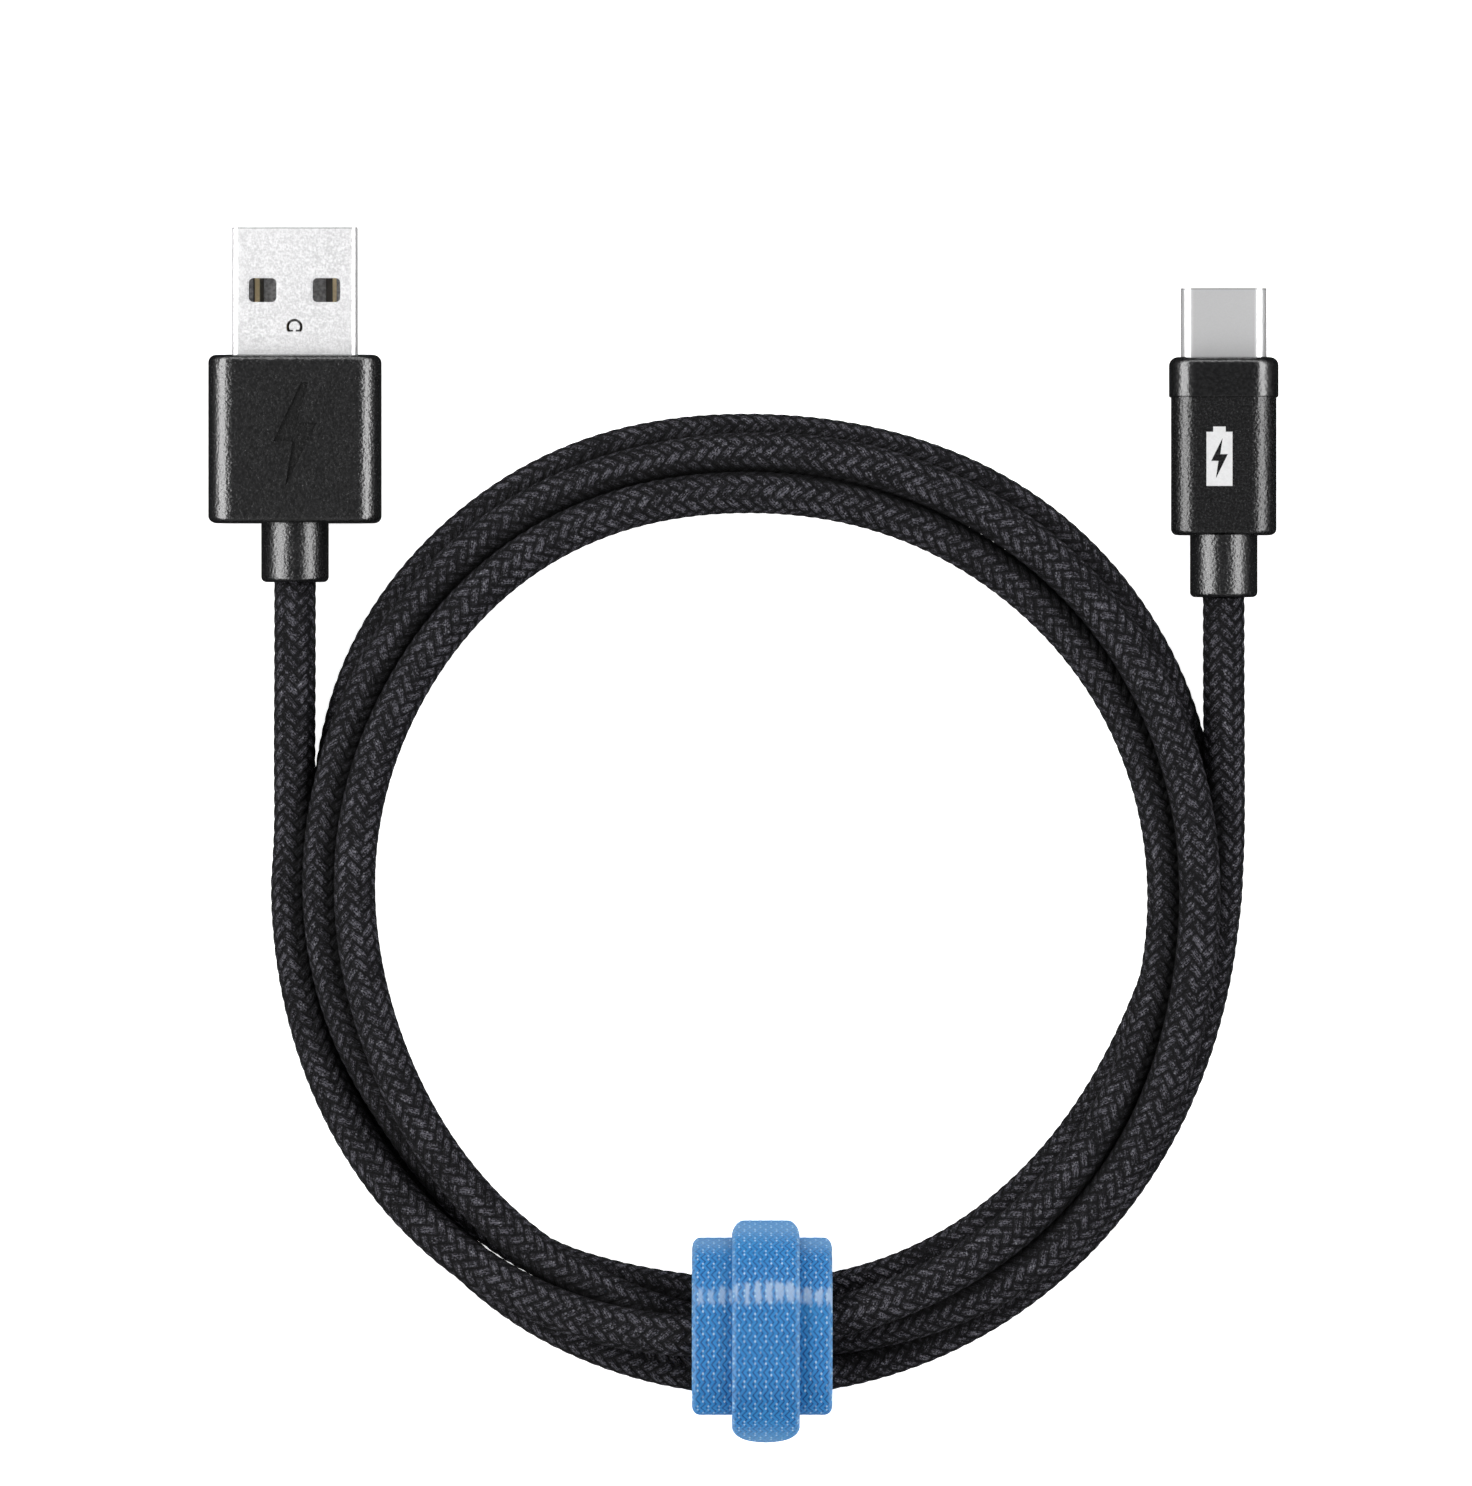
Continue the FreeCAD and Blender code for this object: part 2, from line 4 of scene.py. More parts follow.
import bpy
import numpy as np
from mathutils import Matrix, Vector


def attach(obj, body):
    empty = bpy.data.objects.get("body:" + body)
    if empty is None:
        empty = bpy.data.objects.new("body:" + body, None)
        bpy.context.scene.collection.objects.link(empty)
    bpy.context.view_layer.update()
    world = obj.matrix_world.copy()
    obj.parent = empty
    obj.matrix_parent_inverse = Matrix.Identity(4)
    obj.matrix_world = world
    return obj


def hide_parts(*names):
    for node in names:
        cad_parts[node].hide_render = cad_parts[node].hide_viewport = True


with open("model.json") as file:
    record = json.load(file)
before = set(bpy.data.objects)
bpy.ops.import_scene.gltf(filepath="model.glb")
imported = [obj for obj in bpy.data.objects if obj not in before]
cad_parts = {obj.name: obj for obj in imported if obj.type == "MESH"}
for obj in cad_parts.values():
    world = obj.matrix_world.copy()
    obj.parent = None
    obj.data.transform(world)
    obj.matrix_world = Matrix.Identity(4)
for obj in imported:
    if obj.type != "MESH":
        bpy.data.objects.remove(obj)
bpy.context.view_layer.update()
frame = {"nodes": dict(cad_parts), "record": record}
nodes = frame["nodes"]
scene = bpy.context.scene
scene.view_settings.view_transform = "Standard"

MM = 0.001
CX0, CY0 = 1.63, -6.33  # middle of the coil, in mm, in the row frame


# ---------------------------------------------------------------- camera
cam_data = bpy.data.cameras.new("camera")
cam_data.type = "PERSP"
cam_data.lens = 400.0
cam_data.sensor_width = 36.0
cam_data.clip_start = 0.01
cam_data.clip_end = 10.0
cam = bpy.data.objects.new("camera", cam_data)
scene.collection.objects.link(cam)
cam.location = (-0.73 * MM, 8.77 * MM, (4.5 + 142.9 * 400.0 / 36.0) * MM)
cam.rotation_euler = (0.0, 0.0, 0.0)
scene.camera = cam


# ---------------------------------------------------------------- node helpers
def new_material(name):
    m = bpy.data.materials.new(name)
    m.use_nodes = True
    nt = m.node_tree
    bsdf = next(n for n in nt.nodes if n.type == "BSDF_PRINCIPLED")
    return m, nt, bsdf


def put(nt, socket, value):
    if hasattr(value, "is_linked") or hasattr(value, "links"):
        nt.links.new(value, socket)
    else:
        socket.default_value = value


def calc(nt, op, *values, clamp=False):
    n = nt.nodes.new("ShaderNodeMath")
    n.operation = op
    n.use_clamp = clamp
    for k, v in enumerate(values):
        put(nt, n.inputs[k], v)
    return n.outputs[0]


def ramp(nt, value, lo, hi, out_lo=0.0, out_hi=1.0, smooth=True):
    n = nt.nodes.new("ShaderNodeMapRange")
    n.interpolation_type = "SMOOTHSTEP" if smooth else "LINEAR"
    put(nt, n.inputs["Value"], value)
    n.inputs["From Min"].default_value = lo
    n.inputs["From Max"].default_value = hi
    n.inputs["To Min"].default_value = out_lo
    n.inputs["To Max"].default_value = out_hi
    return n.outputs[0]


def mix_colour(nt, fac, a, b, blend="MIX"):
    n = nt.nodes.new("ShaderNodeMix")
    n.data_type = "RGBA"
    n.blend_type = blend
    put(nt, n.inputs[0], fac)
    put(nt, n.inputs[6], a)
    put(nt, n.inputs[7], b)
    return n.outputs[2]


def object_coords(nt):
    return nt.nodes.new("ShaderNodeTexCoord").outputs["Object"]


def scaled(nt, vector, sx, sy, sz):
    n = nt.nodes.new("ShaderNodeVectorMath")
    n.operation = "MULTIPLY"
    put(nt, n.inputs[0], vector)
    n.inputs[1].default_value = (sx, sy, sz)
    return n.outputs[0]


def noise(nt, vector, scale, detail=2.0, rough=0.5, distortion=0.0):
    n = nt.nodes.new("ShaderNodeTexNoise")
    put(nt, n.inputs["Vector"], vector)
    n.inputs["Scale"].default_value = scale
    n.inputs["Detail"].default_value = detail
    n.inputs["Roughness"].default_value = rough
    n.inputs["Distortion"].default_value = distortion
    return n.outputs["Fac"]


def voronoi(nt, vector, scale, feature="F1"):
    n = nt.nodes.new("ShaderNodeTexVoronoi")
    n.feature = feature
    put(nt, n.inputs["Vector"], vector)
    n.inputs["Scale"].default_value = scale
    return n.outputs


def white(nt, vector):
    n = nt.nodes.new("ShaderNodeTexWhiteNoise")
    n.noise_dimensions = "3D"
    put(nt, n.inputs["Vector"], vector)
    return n.outputs["Value"]


def xyz(nt, x, y, z):
    n = nt.nodes.new("ShaderNodeCombineXYZ")
    put(nt, n.inputs[0], x)
    put(nt, n.inputs[1], y)
    put(nt, n.inputs[2], z)
    return n.outputs[0]


def bump(nt, height, distance, strength=1.0, normal=None):
    n = nt.nodes.new("ShaderNodeBump")
    n.inputs["Strength"].default_value = strength
    n.inputs["Distance"].default_value = distance
    put(nt, n.inputs["Height"], height)
    if normal is not None:
        nt.links.new(normal, n.inputs["Normal"])
    return n.outputs[0]


def grey(v, tint=(1.0, 1.0, 1.0)):
    return (v * tint[0], v * tint[1], v * tint[2], 1.0)


# ---------------------------------------------------------------- cord route
# Control points of the cord from the USB-A relief to the USB-C relief,
# in mm from the middle of the coil.
TAIL_A = [
    (-44.78, 30.58, 4.0),
    (-44.78, 22.4, 4.0),
    (-44.84, 14.0, 3.85),
    (-44.79, 8.6, 3.71),
    (-44.85, 5.4, 3.66),
]
# each turn's points: angle in degrees from +X, radius, height
COIL = [
    (180, 45.06, 3.61), (190, 44.92, 3.74), (200, 44.93, 4.22), (210, 44.97, 5.06),
    (220, 44.91, 6.20), (230, 44.61, 7.50), (240, 44.04, 8.78), (250, 43.26, 9.70),
    (260, 42.34, 10.04), (270, 41.37, 9.85), (280, 40.61, 9.35), (290, 40.21, 8.71),
    (300, 39.98, 8.01), (310, 39.78, 7.31), (320, 39.56, 6.73), (330, 39.35, 6.35),
    (340, 39.19, 6.15), (350, 39.12, 6.01), (360, 39.14, 5.68), (370, 39.22, 5.06),
    (380, 39.30, 4.38), (390, 39.32, 3.84), (400, 39.26, 3.58), (410, 39.16, 3.64),
    (420, 39.14, 4.05), (430, 39.12, 4.74), (440, 39.07, 5.61), (450, 39.11, 6.47),
    (460, 39.39, 7.09), (470, 39.78, 7.36), (480, 40.03, 7.45), (490, 40.02, 7.52),
    (500, 39.81, 7.69), (510, 39.56, 7.97), (520, 39.37, 8.34), (530, 39.17, 8.71),
    (540, 38.91, 9.00), (550, 38.69, 9.21), (560, 38.65, 9.30), (570, 38.87, 9.15),
    (580, 39.29, 8.65), (590, 39.76, 7.94), (600, 40.23, 7.22), (610, 40.71, 6.65),
    (620, 41.20, 6.23), (630, 41.70, 5.87), (640, 42.23, 5.66), (650, 42.77, 5.63),
    (660, 43.29, 5.79), (670, 43.66, 6.22), (680, 43.54, 6.89), (690, 43.11, 7.67),
    (700, 42.53, 8.31), (710, 42.14, 8.60), (720, 42.11, 8.34), (730, 42.30, 7.66),
    (740, 42.53, 6.86), (750, 42.76, 6.14), (760, 42.96, 5.65), (770, 43.05, 5.43),
    (780, 43.06, 5.43), (790, 43.02, 5.54), (800, 42.97, 5.59), (810, 42.92, 5.54),
    (820, 43.01, 5.39), (830, 43.29, 5.34), (840, 43.56, 5.42), (850, 43.56, 5.53),
    (860, 43.33, 5.62), (870, 42.96, 5.76), (880, 42.57, 5.96), (890, 42.26, 6.19),
    (900, 42.00, 6.36), (910, 41.67, 6.34), (920, 41.15, 6.09), (930, 40.46, 5.50),
    (940, 40.50, 4.69), (950, 40.64, 3.95), (960, 40.24, 3.22), (970, 39.20, 2.90),
    (980, 38.52, 3.24), (990, 38.50, 3.31), (1000, 38.46, 3.23), (1010, 38.40, 2.95),
    (1020, 38.29, 2.59), (1030, 38.13, 2.28), (1040, 38.03, 2.09), (1050, 38.10, 2.01),
    (1060, 38.49, 2.00), (1070, 39.34, 2.00), (1080, 40.77, 2.00), (1090, 42.38, 2.00),
    (1100, 43.56, 2.00), (1110, 44.26, 2.00), (1120, 44.78, 2.00), (1130, 45.13, 2.00),
    (1140, 45.18, 2.00), (1150, 44.96, 2.00), (1160, 44.75, 2.00), (1170, 44.76, 2.00),
    (1180, 45.11, 2.00), (1190, 45.53, 2.00), (1200, 45.62, 2.00), (1210, 45.40, 2.00),
    (1220, 45.02, 2.00), (1230, 44.30, 2.00), (1240, 43.11, 2.00), (1250, 41.89, 2.00),
    (1260, 41.08, 2.00), (1270, 40.92, 2.00), (1280, 41.39, 2.00), (1290, 42.43, 2.00),
    (1300, 43.64, 2.01), (1310, 44.65, 2.11), (1320, 45.24, 2.38), (1330, 45.53, 2.80),
    (1340, 45.67, 3.21), (1350, 45.70, 3.41), (1360, 45.58, 3.20), (1370, 45.36, 2.62),
    (1380, 45.06, 2.15), (1390, 44.71, 2.00), (1400, 44.36, 2.12), (1410, 44.03, 2.52),
    (1420, 43.83, 3.17), (1430, 43.84, 3.93), (1440, 44.15, 4.57),
]
TAIL_C = [
    (44.40, 2.31, 4.69),
    (44.54, 5.29, 4.77),
    (44.58, 8.27, 4.75),
    (44.58, 11.25, 4.58),
    (44.58, 14.23, 4.30),
    (44.58, 17.2, 3.97),
    (44.58, 20.2, 3.63),
    (44.58, 23.2, 3.36),
    (44.58, 26.2, 3.30),
    (44.57, 29.13, 3.45),
]
CORD_D = 4.0

control = list(TAIL_A)
for deg, radius, z in COIL:
    # an order 3 spline runs a little inside points 10 degrees apart
    r = radius / 0.9962
    control.append((r * math.cos(math.radians(deg)), r * math.sin(math.radians(deg)), z))
control += TAIL_C
control = [((x + CX0) * MM, (y + CY0) * MM, z * MM) for x, y, z in control]


def nurbs_points(points, resolution):
    curve = bpy.data.curves.new("cord_route", "CURVE")
    curve.dimensions = "3D"
    curve.resolution_u = resolution
    spline = curve.splines.new("NURBS")
    spline.points.add(len(points) - 1)
    for p, co in zip(spline.points, points):
        p.co = (*co, 1.0)
    spline.order_u = 3
    spline.use_endpoint_u = True
    spline.resolution_u = resolution
    obj = bpy.data.objects.new("cord_route", curve)
    scene.collection.objects.link(obj)
    bpy.context.view_layer.update()
    mesh = bpy.data.meshes.new_from_object(obj)
    out = np.empty(len(mesh.vertices) * 3)
    mesh.vertices.foreach_get("co", out)
    bpy.data.objects.remove(obj)
    bpy.data.curves.remove(curve)
    bpy.data.meshes.remove(mesh)
    return out.reshape(-1, 3)


def frames_along(path, up):
    """Tangents, and two directions across that turn as little as they can."""
    tangent = np.gradient(path, axis=0)
    tangent /= np.linalg.norm(tangent, axis=1)[:, None]
    side = np.empty_like(path)
    first = np.cross(up, tangent[0])
    side[0] = first / np.linalg.norm(first)
    for k in range(1, len(path)):
        v1 = path[k] - path[k - 1]
        c1 = v1 @ v1
        rl = side[k - 1] - (2 / c1) * (v1 @ side[k - 1]) * v1
        tl = tangent[k - 1] - (2 / c1) * (v1 @ tangent[k - 1]) * v1
        v2 = tangent[k] - tl
        c2 = v2 @ v2
        side[k] = rl if c2 < 1e-18 else rl - (2 / c2) * (v2 @ rl) * v2
    return tangent, side, np.cross(tangent, side)


def mesh_object(name, verts, faces, uvs=None, uv_name="weave", smooth=True):
    mesh = bpy.data.meshes.new(name)
    verts = np.asarray(verts, dtype=np.float32)
    mesh.vertices.add(len(verts))
    mesh.vertices.foreach_set("co", verts.ravel())
    sizes = np.array([len(f) for f in faces], dtype=np.int32) if not isinstance(faces, np.ndarray) else np.full(len(faces), faces.shape[1], dtype=np.int32)
    loops = np.concatenate([np.asarray(f, dtype=np.int32) for f in faces]) if not isinstance(faces, np.ndarray) else faces.astype(np.int32).ravel()
    mesh.loops.add(len(loops))
    mesh.loops.foreach_set("vertex_index", loops)
    mesh.polygons.add(len(sizes))
    mesh.polygons.foreach_set("loop_start", np.concatenate([[0], np.cumsum(sizes)[:-1]]).astype(np.int32))
    mesh.polygons.foreach_set("loop_total", sizes)
    mesh.update(calc_edges=True)
    if uvs is not None:
        layer = mesh.uv_layers.new(name=uv_name)
        layer.data.foreach_set("uv", np.asarray(uvs, dtype=np.float32).ravel())
    mesh.polygons.foreach_set("use_smooth", np.full(len(sizes), smooth))
    mesh.validate(clean_customdata=False)
    mesh.update()
    obj = bpy.data.objects.new(name, mesh)
    scene.collection.objects.link(obj)
    return obj


# ---------------------------------------------------------------- braided cord
COLUMNS = 10  # columns of the braid round the cord: 20 yarns, 2 over 2
PITCH = 1.33  # mm along the cord from one yarn to the next
PER_COLUMN = 8  # mesh points across one column

route = nurbs_points(control, 40)
steps = np.linalg.norm(np.diff(route, axis=0), axis=1)
along = np.concatenate([[0.0], np.cumsum(steps)]) / MM
cord_length = along[-1] * MM
tangent, side, over = frames_along(route, np.array([0.0, 0.0, 1.0]))

ring = COLUMNS * PER_COLUMN
around = np.arange(ring + 1) / PER_COLUMN
U = np.broadcast_to(around[None, :], (len(route), ring + 1))
V = np.broadcast_to((along / PITCH)[:, None], (len(route), ring + 1))


def braid_height(u, v):
    a = u + v
    b = u - v + 1000.0
    ia, ib = np.floor(a), np.floor(b)
    fa, fb = a - ia, b - ib
    k = np.mod(ia + ib, 4.0)
    front = k < 2
    f = np.where(front, fa, fb)
    t = np.where(front, (k + fb) / 2, (k - 2 + fa) / 2)
    across = np.sqrt(np.clip(4 * f * (1 - f), 0, 1))
    length = np.clip(np.sin(np.pi * t), 0, 1) ** 0.6
    return across * (0.35 + 0.65 * length)


height = braid_height(U[:, :ring], V[:, :ring])
radius = (CORD_D / 2 - 0.11 + 0.14 * height) * MM
angle = 2 * np.pi * np.arange(ring) / ring
verts = (
    route[:, None, :]
    + radius[..., None] * (np.cos(angle)[None, :, None] * side[:, None, :] + np.sin(angle)[None, :, None] * over[:, None, :])
).reshape(-1, 3)
row = np.arange(len(route) - 1)[:, None] * ring
col = np.arange(ring)[None, :]
nxt = (col + 1) % ring
quads = np.stack([row + col, row + nxt, row + ring + nxt, row + ring + col], axis=-1).reshape(-1, 4)
u0, u1 = around[:-1][None, :], around[1:][None, :]
v0, v1 = (along[:-1] / PITCH)[:, None], (along[1:] / PITCH)[:, None]
shape = (len(route) - 1, ring)
uv = np.stack(
    [
        np.stack([np.broadcast_to(u0, shape), np.broadcast_to(v0, shape)], -1),
        np.stack([np.broadcast_to(u1, shape), np.broadcast_to(v0, shape)], -1),
        np.stack([np.broadcast_to(u1, shape), np.broadcast_to(v1, shape)], -1),
        np.stack([np.broadcast_to(u0, shape), np.broadcast_to(v1, shape)], -1),
    ],
    axis=2,
).reshape(-1, 2)
# flat ends, hidden inside the reliefs
n_all = len(verts)
verts = np.vstack([verts, route[0], route[-1]])
last = (len(route) - 1) * ring
caps = np.array(
    [[n_all, (k + 1) % ring, k, k] for k in range(ring)]
    + [[n_all + 1, last + k, last + (k + 1) % ring, last + k] for k in range(ring)]
)
face_list = list(quads) + [c[:3] for c in caps]
uv = np.vstack([uv, np.zeros((3 * len(caps), 2))])
cord = mesh_object("braided_cord", verts, face_list, uv, "weave")

# how close the next turn is, for the painted contact shadow between the turns
every = np.arange(0, len(route), 4)
apart = np.linalg.norm(route[:, None, :] - route[every][None, :, :], axis=2)
apart[np.abs(along[:, None] - along[every][None, :]) < 14.0] = 1.0
nearest = np.argsort(apart, axis=1)[:, :14]
outer = verts[: len(route) * ring].reshape(len(route), ring, 3)
closest = np.full(outer.shape[:2], 1.0)
for k in range(nearest.shape[1]):
    away = np.linalg.norm(outer - route[every][nearest[:, k]][:, None, :], axis=2)
    closest = np.minimum(closest, away)
contact_shadow_gap = np.clip((closest / MM - CORD_D / 2) / 2.5, 0.0, 1.0)
contact_shadow_gap = np.concatenate([contact_shadow_gap.ravel(), [1.0, 1.0]]).astype(np.float32)
contact_shadow_gap_attr = cord.data.attributes.new("contact_shadow_gap", "FLOAT", "POINT")
contact_shadow_gap_attr.data.foreach_set("value", contact_shadow_gap)


def braid_material():
    m, nt, bsdf = new_material("braided_sleeve_yarn")
    uvn = nt.nodes.new("ShaderNodeUVMap")
    uvn.uv_map = "weave"
    sep = nt.nodes.new("ShaderNodeSeparateXYZ")
    nt.links.new(uvn.outputs[0], sep.inputs[0])
    u, v = sep.outputs[0], sep.outputs[1]
    oc = object_coords(nt)
    # yarns aren't drawn with a ruler
    u = calc(nt, "ADD", u, calc(nt, "MULTIPLY", calc(nt, "SUBTRACT", noise(nt, oc, 1500.0, 3.0, 0.7), 0.5), 0.42))
    v = calc(nt, "ADD", v, calc(nt, "MULTIPLY", calc(nt, "SUBTRACT", noise(nt, scaled(nt, oc, 1, -1, 1), 1450.0, 3.0, 0.7), 0.5), 0.42))
    a = calc(nt, "ADD", u, v)
    b = calc(nt, "ADD", calc(nt, "SUBTRACT", u, v), 1000.0)
    ia, ib = calc(nt, "FLOOR", a), calc(nt, "FLOOR", b)
    fa, fb = calc(nt, "FRACT", a), calc(nt, "FRACT", b)
    k = calc(nt, "MODULO", calc(nt, "ADD", ia, ib), 4.0)
    back = calc(nt, "GREATER_THAN", k, 1.5)
    front = calc(nt, "SUBTRACT", 1.0, back)
    k2 = calc(nt, "SUBTRACT", k, calc(nt, "MULTIPLY", back, 2.0))
    f = calc(nt, "ADD", calc(nt, "MULTIPLY", front, fa), calc(nt, "MULTIPLY", back, fb))
    g = calc(nt, "ADD", calc(nt, "MULTIPLY", front, fb), calc(nt, "MULTIPLY", back, fa))
    t = calc(nt, "MULTIPLY", calc(nt, "ADD", k2, g), 0.5)
    # one number for each float of each yarn
    key = xyz(
        nt,
        calc(nt, "SUBTRACT", ia, calc(nt, "MULTIPLY", back, k2)),
        calc(nt, "SUBTRACT", ib, calc(nt, "MULTIPLY", front, k2)),
        back,
    )
    tone = white(nt, key)
    # ends lie side by side in a yarn, each of many twisted fibres
    lane = calc(nt, "MULTIPLY", f, 4.0)
    run = calc(nt, "ADD", calc(nt, "MULTIPLY", t, 2.4), calc(nt, "MULTIPLY", tone, 37.0))
    fine = noise(nt, xyz(nt, calc(nt, "MULTIPLY", lane, 1.6), calc(nt, "MULTIPLY", run, 1.1), tone), 1.0, 4.0, 0.75)
    wob = calc(nt, "ADD", lane, calc(nt, "MULTIPLY", calc(nt, "SUBTRACT", fine, 0.5), 1.6))
    ends = calc(nt, "ABSOLUTE", calc(nt, "SINE", calc(nt, "MULTIPLY", wob, math.pi)))
    edge = calc(nt, "MULTIPLY", ramp(nt, f, -0.02, 0.27), ramp(nt, calc(nt, "SUBTRACT", 1.0, f), -0.02, 0.27))
    tip = calc(nt, "MULTIPLY", ramp(nt, t, -0.03, 0.26), ramp(nt, calc(nt, "SUBTRACT", 1.0, t), -0.03, 0.26))
    body = calc(nt, "MULTIPLY", edge, calc(nt, "ADD", calc(nt, "MULTIPLY", tip, 0.75), 0.25))
    fibre = calc(nt, "MULTIPLY", body, calc(nt, "ADD", calc(nt, "MULTIPLY", ends, 0.6), 0.4))
    # painted sheen: columns and stretches are painted lighter where the fibres stand up and catch more light
    column_sheen = noise(nt, xyz(nt, calc(nt, "MULTIPLY", sep.outputs[0], 0.9), calc(nt, "MULTIPLY", sep.outputs[1], 0.35), 3.0), 1.0, 2.0, 0.6)
    grain = noise(nt, oc, 4600.0, 3.0, 0.8)
    tone_and_sheen = calc(nt, "ADD", calc(nt, "MULTIPLY", tone, 0.16), calc(nt, "MULTIPLY", ramp(nt, column_sheen, 0.3, 0.7), 0.30))
    level = calc(nt, "MULTIPLY", fibre, calc(nt, "ADD", tone_and_sheen, 0.34))
    level = calc(nt, "ADD", level, calc(nt, "MULTIPLY", calc(nt, "SUBTRACT", grain, 0.52), calc(nt, "ADD", calc(nt, "MULTIPLY", body, 2.3), 0.35)), clamp=True)
    level = ramp(nt, level, 0.06, 0.78)
    cr = nt.nodes.new("ShaderNodeValToRGB")
    cr.color_ramp.elements[0].position = 0.0
    cr.color_ramp.elements[0].color = (0.0010, 0.0010, 0.0014, 1)
    cr.color_ramp.elements[1].position = 1.0
    cr.color_ramp.elements[1].color = (0.136, 0.133, 0.157, 1)
    mid = cr.color_ramp.elements.new(0.4)
    mid.color = (0.0270, 0.0261, 0.0318, 1)
    nt.links.new(level, cr.inputs[0])
    # stray light fibres that catch the light
    speck = voronoi(nt, oc, 3600.0)
    spot = calc(nt, "MULTIPLY", ramp(nt, speck["Distance"], 0.18, 0.42, 1.0, 0.0), calc(nt, "GREATER_THAN", white(nt, speck["Color"]), 0.76))
    spot = calc(nt, "MULTIPLY", spot, calc(nt, "MULTIPLY", body, ramp(nt, column_sheen, 0.35, 0.7, 0.3, 1.0)))
    colour = mix_colour(nt, calc(nt, "MULTIPLY", spot, 0.75), cr.outputs[0], (0.36, 0.36, 0.40, 1))
    # painted shade: darker low on the sides, and a painted contact shadow deep between the turns
    facing = nt.nodes.new("ShaderNodeSeparateXYZ")
    nt.links.new(nt.nodes.new("ShaderNodeTexCoord").outputs["Normal"], facing.inputs[0])
    # the gap to the next turn, read for the painted contact shadow
    near = nt.nodes.new("ShaderNodeAttribute")
    near.attribute_name = "contact_shadow_gap"
    shade = calc(nt, "MULTIPLY", ramp(nt, facing.outputs[2], 0.05, 0.92, 0.22, 1.0), ramp(nt, near.outputs["Fac"], 0.0, 0.8, 0.03, 1.0))
    colour = mix_colour(nt, 1.0, colour, xyz(nt, shade, shade, shade), "MULTIPLY")
    nt.links.new(colour, bsdf.inputs["Base Color"])
    nt.links.new(ramp(nt, ends, 0.0, 1.0, 0.9, 0.65), bsdf.inputs["Roughness"])
    bsdf.inputs["Specular IOR Level"].default_value = 0.03
    bsdf.inputs["Sheen Weight"].default_value = 0.01
    bsdf.inputs["Sheen Roughness"].default_value = 0.4
    bsdf.inputs["Sheen Tint"].default_value = (0.8, 0.82, 0.9, 1)
    relief = calc(nt, "ADD", calc(nt, "MULTIPLY", ends, body), calc(nt, "MULTIPLY", grain, 0.9))
    nt.links.new(bump(nt, relief, 0.00012, 1.0), bsdf.inputs["Normal"])
    return m


cord.data.materials.append(braid_material())
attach(cord, "cable")
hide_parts("cable_tail_usb_a", "cable_coil", "cable_tail_usb_c")


# ---------------------------------------------------------------- strap
BAND_W, TAIL_W = 13.46, 6.5
BAND_X, TAIL_X = 0.145, 0.5
STRAP_T = 1.05


def rounded(points, times=4):
    pts = np.array(points, dtype=float)
    for _ in range(times):
        q = 0.75 * pts[:-1] + 0.25 * pts[1:]
        r = 0.25 * pts[:-1] + 0.75 * pts[1:]
        pts = np.vstack([pts[:1], np.stack([q, r], 1).reshape(-1, 2), pts[-1:]])
    return pts


def resampled(points, step):
    d = np.concatenate([[0], np.cumsum(np.linalg.norm(np.diff(points, axis=0), axis=1))])
    n = max(2, int(round(d[-1] / step)) + 1)
    s = np.linspace(0, d[-1], n)
    return s, np.stack([np.interp(s, d, points[:, c]) for c in range(points.shape[1])], -1)


# the strip's middle line, as distance from the coil's middle and height: the
# wide end starts inside the ring, goes over the turns, down outside and back
# underneath, narrows, comes up inside and lies over the wide part
STRAP_LINE = [
    (33.9, 2.2), (33.0, 3.4), (32.95, 5.6), (34.0, 9.4), (35.6, 11.3), (37.5, 12.55),
    (39.6, 12.78), (42.5, 12.78), (46.2, 12.72), (48.2, 11.5), (48.85, 9.6), (48.85, 5.0), (48.75, 1.5),
    (47.6, 0.56), (44.0, 0.56), (38.0, 0.56), (33.4, 0.56), (31.5, 0.9), (31.36, 2.6),
    (31.4, 4.9), (32.2, 8.0), (33.2, 10.3), (35.0, 12.5), (37.3, 13.7), (39.6, 13.87), (42.5, 13.87), (46.6, 13.83),
    (48.9, 12.5), (50.3, 10.5), (51.3, 8.3), (51.55, 7.3),
]
strap_s, strap_line = resampled(rounded(STRAP_LINE), 0.115)
total_s = strap_s[-1]


def s_at(point, after=0.0):
    d = np.linalg.norm(strap_line - np.array(point), axis=1) + np.where(strap_s < after, 1e3, 0)
    return strap_s[int(np.argmin(d))]


s_taper0 = s_at((38.5, 0.56), 40)
s_taper1 = s_at((33.6, 0.56), 40)


def smooth01(x):
    x = np.clip(x, 0, 1)
    return x * x * (3 - 2 * x)


def round_off(distance, size):
    """How much narrower the strip is at that distance inside a rounded end."""
    d = np.clip(size - distance, 0, size)
    return size - np.sqrt(size * size - d * d)


def strap_half_width(s):
    r = np.interp(s, strap_s, strap_line[:, 0])
    wide = np.full_like(s, BAND_W / 2)
    wide -= round_off(np.abs(r - 32.9), 0.55) * (r < 34)
    wide -= round_off(np.abs(48.9 - r), 0.5) * (r > 48) * (s < s_taper0)
    narrow = np.full_like(s, TAIL_W / 2) - round_off(np.abs(r - 31.32), 0.95) * (r < 33)
    k = smooth01((s - s_taper0) / (s_taper1 - s_taper0))
    w = wide * (1 - k) + narrow * k
    # round tip of the tail, and rounded corners on the wide end
    tip = total_s - s
    R = TAIL_W / 2
    w = np.where(tip < R, np.minimum(w, np.sqrt(np.clip(R * R - (R - tip) ** 2, 0, None)) + 0.02), w)
    c = 0.9
    w = np.where(s < c, w - (c - np.sqrt(np.clip(c * c - (c - s) ** 2, 0, None))), w)
    return w


REPEAT_X = 1.03  # mm across the knit from one column of stitches to the next
REPEAT_S = 2.12  # mm along it


